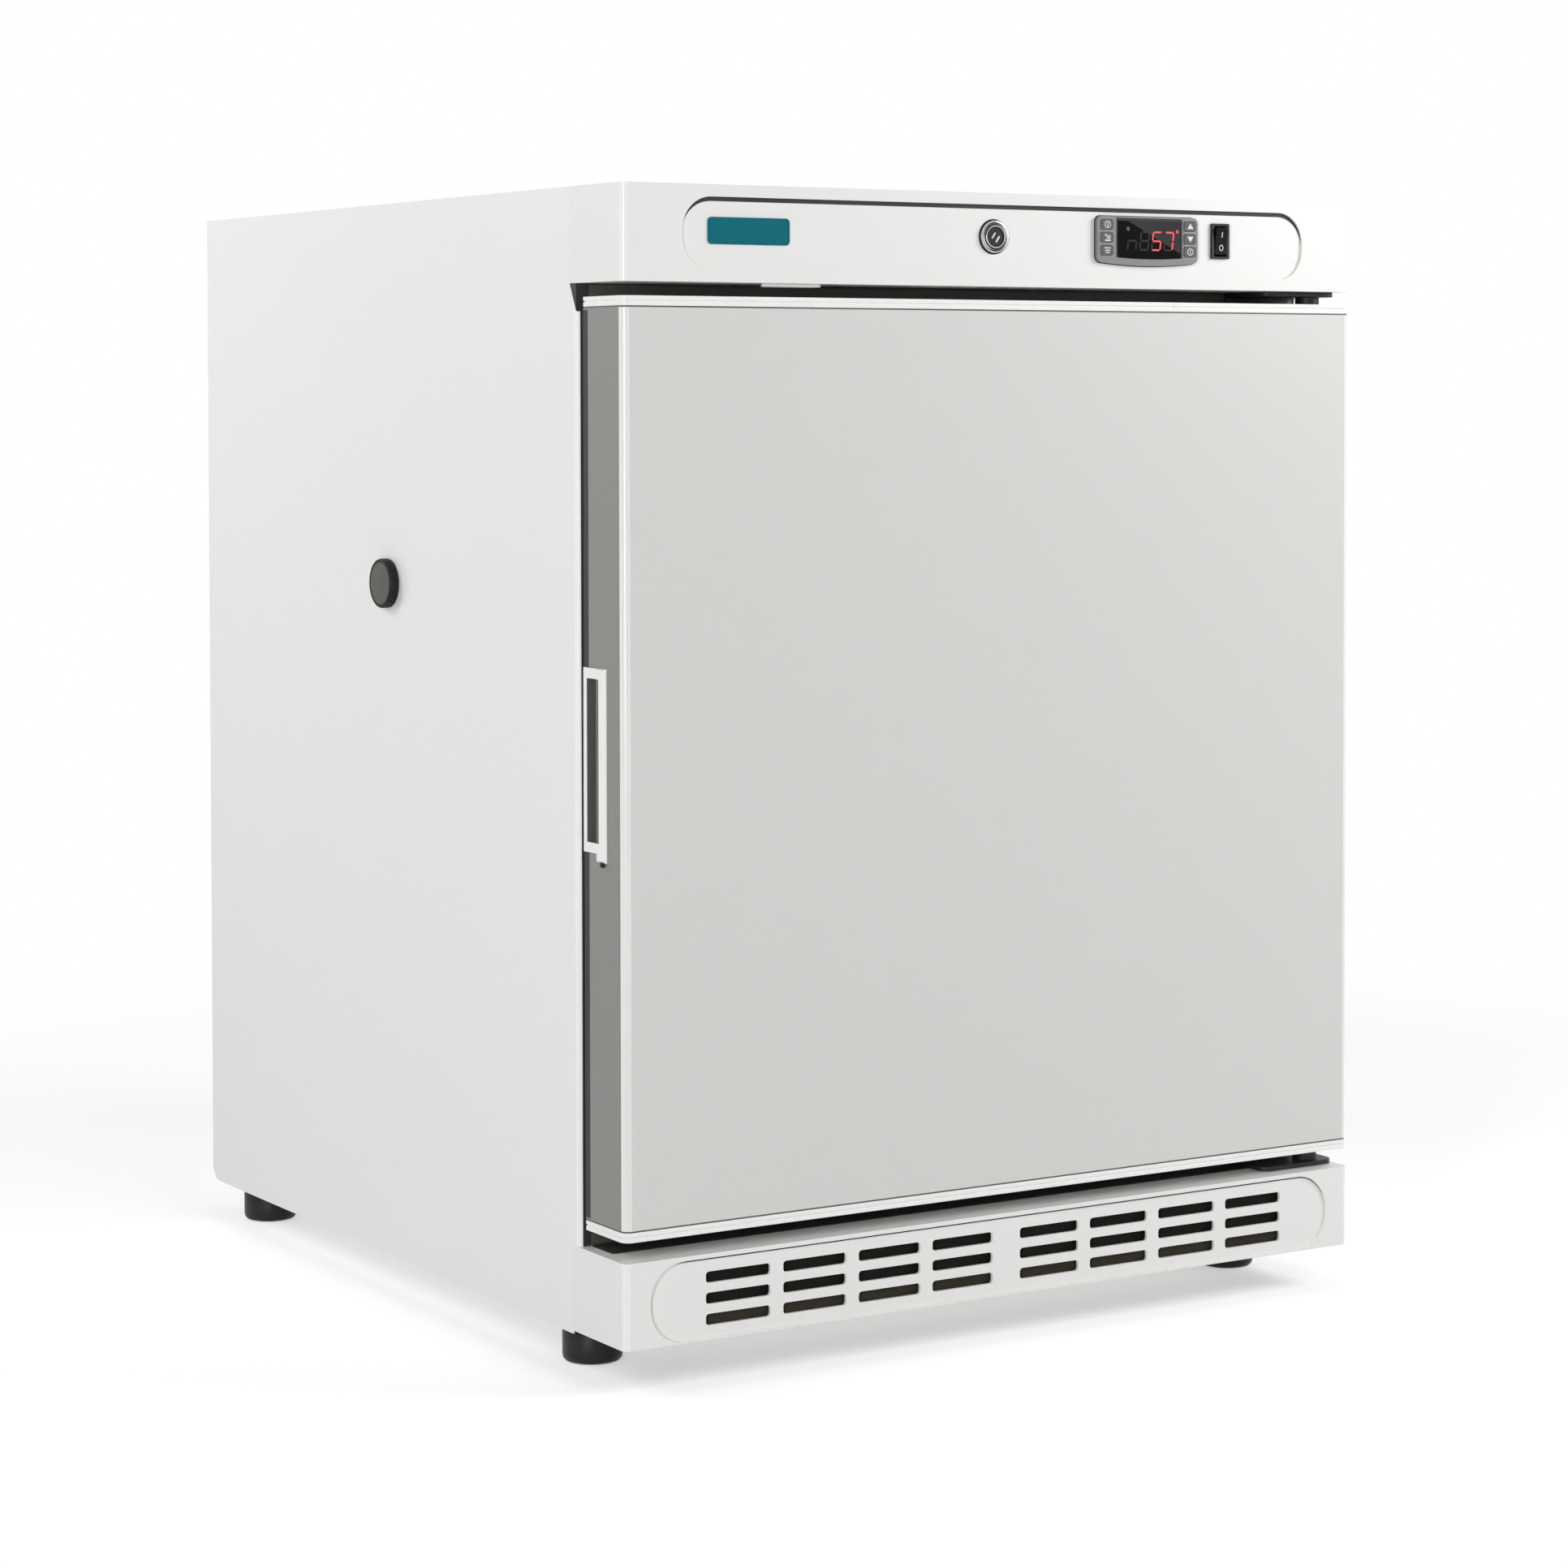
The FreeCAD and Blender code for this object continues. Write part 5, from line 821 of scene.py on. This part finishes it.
# The caps' white is the fascia's moulding painted lighter, painted light against the shade of the gaps
# round them; the grip takes it too.
cap_painted_light_white = finish("cap_painted_light_white", moulded, {"Colour": (0.93, 0.925, 0.91, 1), "Roughness": 0.28},
                   bump=0.00003)
refined("door_top_cap", 0.0008, cap_painted_light_white, 3)
refined("door_bottom_cap", 0.0008, cap_painted_light_white, 3)
refined("door_liner", 0.0012, liner_white, 3)


def door_plan(inset):
    """The door's outline seen from above, rounded at its two front corners."""
    radius = 6.0
    ring = [(280 - inset, -262.5), (-280 + inset, -262.5)]
    for side, start in ((-1, 180), (1, 270)):
        for i in range(9):
            angle = math.radians(start + 90 * i / 8)
            ring.append((side * (280 - radius) + (radius - inset) * math.cos(angle),
                         -310 + radius + (radius - inset) * math.sin(angle)))
    return ring


# Dark grey rings in the joints between the caps and the sheet: painted shade of the grooves there.
for name, low, high in (("top_cap_joint_shade", 655.2, 656.7), ("bottom_cap_joint_shade", 99.3, 100.8)):
    panel(name, [[door_plan(0.25), [(-274, -303), (274, -303), (274, -268), (-274, -268)]]], low, high,
          frame_grey, "door", facing="z")

# Near-black strips on the back of the door's flat sides: painted shade of the gap between the door and the
# cabinet.
shade_strip = [(-262.0, 101.5), (-262.0, 654.5), (-267.6, 654.5), (-267.6, 101.5)]
for name, back, front in (("left", -279.8, -280.15), ("right", 279.8, 280.15)):
    panel("door_gap_painted_shade_" + name, [[shade_strip]], back, front, painted_shade_dark, "door", facing="x")


# The gasket: black magnetic rubber bellows in a groove of the door's back,
# mitred and welded at the corners.
gasket_rubber = finish("gasket", moulded,
                       {"Colour": (0.010, 0.010, 0.010, 1), "Roughness": 0.55, "Flow": 0.01},
                       bump=0.00005, Specular_IOR_Level=0.2)
bellows = [(0, -262.0), (14, -262.0), (14, -260.4), (12.6, -259.4), (13.6, -258.0), (12.6, -256.6),
           (13.2, -255.0), (12.8, -253.2), (11.8, -252.3), (2.2, -252.3), (1.2, -253.2), (0.8, -255.0),
           (1.4, -256.6), (0.4, -258.0), (1.4, -259.4), (0, -260.4)]
low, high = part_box("door_gasket")
verts, faces = [], []
for side_x, side_z in ((-1, -1), (1, -1), (1, 1), (-1, 1)):
    for inset, y in bellows:
        inset = inset / 1000
        verts.append((side_x * (high.x - inset), y / 1000, high.z - inset if side_z > 0 else low.z + inset))
turns = len(bellows)
for corner in range(4):
    for i in range(turns):
        a, b = corner * turns + i, corner * turns + (i + 1) % turns
        after = (corner + 1) % 4 * turns
        faces.append((a, b, after + (i + 1) % turns, after + i))
mesh = bpy.data.meshes.new("door_gasket_piece")
mesh.from_pydata(verts, [], faces)
work = bmesh.new()
work.from_mesh(mesh)
bmesh.ops.recalc_face_normals(work, faces=work.faces)
work.to_mesh(mesh)
work.free()
round_edges(fit_piece("door_gasket_piece", mesh, gasket_rubber, "door", ("door_gasket",)), 0.0003)


# The grip: a white moulding pushed into the door's free edge, a finger
# pocket behind a raised bar with a small dark stop under its end; the
# pocket's faces and a strip beside its mouth are painted dark grey as shade.
pocket_shade_grey = finish("pocket_shade_grey", moulded, {"Colour": (0.125, 0.12, 0.11, 1), "Roughness": 0.5},
                     bump=0.00004)
grip = refined("door_handle", 0.0005, cap_painted_light_white)
grip.data.materials.append(pocket_shade_grey)
POCKET_EDGE, DOOR_EDGE, BAR_FOOT, MOUTH_FRONT = -0.2795, -0.27995, -0.2817, -0.279
BAR_NARROWER, BAR_LOWER = 0.0019, 0.0018
for face in grip.data.polygons:
    if face.center.x > POCKET_EDGE:
        face.material_index = 1
for point in grip.data.vertices:
    if point.co.x < DOOR_EDGE and abs(point.co.y - MOUTH_FRONT) < 0.0002:
        point.co.y -= BAR_NARROWER
    if point.co.x < BAR_FOOT:
        point.co.x += BAR_LOWER
mouth = [(-280.7, 332.1), (-283.5, 332.1), (-283.5, 431.5), (-280.7, 431.5)]
panel("grip_painted_shade_strip", [[mouth]], -281.9, -282.27, pocket_shade_grey, "door", facing="x")
low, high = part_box("door_handle")
stop = [(0, -2.6), (0.9, -2.5), (1.4, -2.0), (1.6, -1.2), (1.6, 0.4), (0, 0.4)]
turned("grip_stop", [(r / 1000, low.z + z / 1000) for r, z in stop], (-0.2811, -0.2862, 0), "z",
       black_moulding, "door")


# The hinges: steel brackets over and under the door's right edge, coated
# black, each with its pin and bush.
hinge_black = finish("hinge_black", coated, {"Colour": (0.016, 0.016, 0.016, 1), "Roughness": 0.45},
                     bump=0.00005, Specular_IOR_Level=0.3)
refined("top_hinge", 0.0004, hinge_black)
refined("bottom_hinge", 0.0004, hinge_black)


# The cable port in the left wall: a tube through the foam, closed by a soft
# plug with a raised rim round its flat grey face.
port_white = finish("port_plastic", moulded, {"Colour": (0.72, 0.72, 0.71, 1), "Roughness": 0.45},
                    bump=0.00004)
plug_grey = finish("plug_grey", moulded, {"Colour": (0.10, 0.103, 0.09, 1), "Roughness": 0.6, "Flow": 0.02},
                   bump=0.00006, Specular_IOR_Level=0.25)
refined("port_sleeve", 0.0004, port_white)
PORT = (0, 0.009, 0.4777)
plug = [(0, -244.0), (10.2, -244.0), (10.5, -244.6), (11.5, -279.0), (12.2, -280.2), (15.6, -280.3),
        (16.3, -280.7), (16.5, -281.4), (16.5, -285.3), (16.2, -286.3), (15.6, -286.9), (15.0, -287.0),
        (14.5, -286.8), (14.2, -286.2), (0, -286.2)]
turned("port_plug_piece", metres(plug), PORT, "x", gasket_rubber, "port_plug", ("port_plug",))
plug_face = [(0, -286.1), (14.3, -286.1), (14.1, -286.7), (13.4, -286.85), (0, -286.85)]
turned("port_plug_face", metres(plug_face), PORT, "x", plug_grey, "port_plug")


# The shelves: a bent frame wire with a cross wire and seventeen thinner
# wires welded on it, all in a white plastic coat.
shelf_white = finish("shelf_wire", coated, {"Colour": (0.84, 0.85, 0.85, 1), "Roughness": 0.3},
                     bump=0.00003)


def add_wire(verts, faces, points, radius, closed=False, sides=12):
    """Sweep a round wire along level points, in millimetres."""
    count = len(points)
    first = len(verts)
    for i, point in enumerate(points):
        before = points[i - 1] if i or closed else point
        after = points[(i + 1) % count] if i < count - 1 or closed else point
        ahead = (Vector(after) - Vector(before)).normalized()
        side = ahead.cross(Vector((0, 0, 1))).normalized()
        up = side.cross(ahead)
        for n in range(sides):
            angle = math.tau * n / sides
            offset = side * math.cos(angle) * radius + up * math.sin(angle) * radius
            verts.append(tuple((Vector(point) + offset) / 1000))
    for i in range(count if closed else count - 1):
        here, there = first + i * sides, first + (i + 1) % count * sides
        for n in range(sides):
            faces.append((here + n, here + (n + 1) % sides, there + (n + 1) % sides, there + n))
    if not closed:
        faces.append(tuple(first + n for n in reversed(range(sides))))
        faces.append(tuple(first + (count - 1) * sides + n for n in range(sides)))


THICK_WIRE, THIN_WIRE, WIRE_BEND, THIN_WIRES = 5.0, 3.0, 14.0, 17
for level in ("lower", "middle", "upper"):
    node = level + "_shelf"
    low, high = (corner * 1000 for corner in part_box(node))
    half, near, far = high.x - THICK_WIRE / 2, low.y + THICK_WIRE / 2, high.y - THICK_WIRE / 2
    frame_z, cross_z = low.z + THICK_WIRE / 2, high.z - THIN_WIRE / 2
    verts, faces = [], []
    loop = rounded(0, (near + far) / 2, 2 * half, far - near, WIRE_BEND)
    add_wire(verts, faces, [(x, y, frame_z) for x, y in loop], THICK_WIRE / 2, closed=True)
    add_wire(verts, faces, [(-half, (near + far) / 2, frame_z), (half, (near + far) / 2, frame_z)],
             THICK_WIRE / 2)
    for i in range(THIN_WIRES):
        x = 2 * half / (THIN_WIRES + 1) * (i + 1) - half
        add_wire(verts, faces, [(x, near - 2.3, cross_z), (x, far + 2.3, cross_z)], THIN_WIRE / 2, sides=10)
    mesh = bpy.data.meshes.new(node + "_piece")
    mesh.from_pydata(verts, [], faces)
    for face in mesh.polygons:
        face.use_smooth = True
    mesh.set_sharp_from_angle(angle=math.radians(40))
    fit_piece(node + "_piece", mesh, shelf_white, BODY_OF[node], (node,))


# Cold air: an aluminium evaporator with fins and a moulded fan behind the
# duct cover, and the liner's lamp and air probe.
aluminium = finish("coil", drawn_metal, {"Colour": (0.72, 0.73, 0.74, 1), "Roughness": 0.32}, metallic=1.0,
                   bump=0.00002)
lamp_white = finish("lamp_cover", moulded, {"Colour": (0.88, 0.88, 0.86, 1), "Roughness": 0.4},
                    bump=0.00003)
refined("evaporator", 0, aluminium)
refined("evaporator_fan_motor", 0.0005, black_plastic)
refined("evaporator_fan_blades", 0.0003, black_plastic)
refined("lamp", 0.0006, lamp_white)
refined("air_probe", 0.0003, port_white)


# The machinery in the back of the base: a painted steel compressor on rubber
# grommets, a finned aluminium condenser with its fan, the copper drier and
# pipes, and a moulded drain and tray, behind the louvred white sheet.
compressor_black = finish("compressor_black", coated,
                          {"Colour": (0.018, 0.018, 0.018, 1), "Roughness": 0.35}, bump=0.00008)
copper = finish("copper", drawn_metal, {"Colour": (0.72, 0.40, 0.25, 1), "Roughness": 0.3}, metallic=1.0,
                bump=0.00001)
refined("compressor", 0.0004, compressor_black)
refined("compressor_grommets", 0.0005, gasket_rubber)
refined("drip_tray", 0.0005, port_white)
refined("drain_tube", 0.0003, port_white)
refined("condenser", 0, aluminium)
refined("condenser_fan_motor", 0.0005, black_plastic)
refined("condenser_fan_blades", 0.0003, aluminium)
refined("filter_drier", 0.0003, copper)
refined("refrigerant_pipes", 0, copper)
refined("rear_grille", 0, white_paint, whole=False)
refined("cord_gland", 0.0004, black_plastic)


# The screws of the back: zinc-plated pan heads with a cross recess, through
# the back sheet and the louvred cover, most into the folds of the side sheets.
SCREW_PLACES = [(side * 268, z) for side in (-1, 1) for z in (60, 226, 264, 488, 712)]
SCREW_PLACES += [(0, 264), (0, 712)]
pan_head = [(0, 311.7), (1.6, 311.6), (2.6, 311.2), (3.2, 310.6), (3.4, 309.9), (0, 309.9)]
for count, (x, z) in enumerate(SCREW_PLACES, 1):
    turned("back_screw_%02d" % count, metres(pan_head), (x / 1000, 0, z / 1000), "y", zinc, "cabinet",
           steps=24)
# The cross recesses are flat near-black crosses on the heads: painted shade in place of hollows.
cross = [(0.4, 0.4), (0.4, 1.9), (-0.4, 1.9), (-0.4, 0.4), (-1.9, 0.4), (-1.9, -0.4), (-0.4, -0.4),
         (-0.4, -1.9), (0.4, -1.9), (0.4, -0.4), (1.9, -0.4), (1.9, 0.4)]
panel("back_screw_crosses", [[[(x + u, z + v) for u, v in cross]] for x, z in SCREW_PLACES], 311.3, 311.75,
      painted_shade_dark, "cabinet")
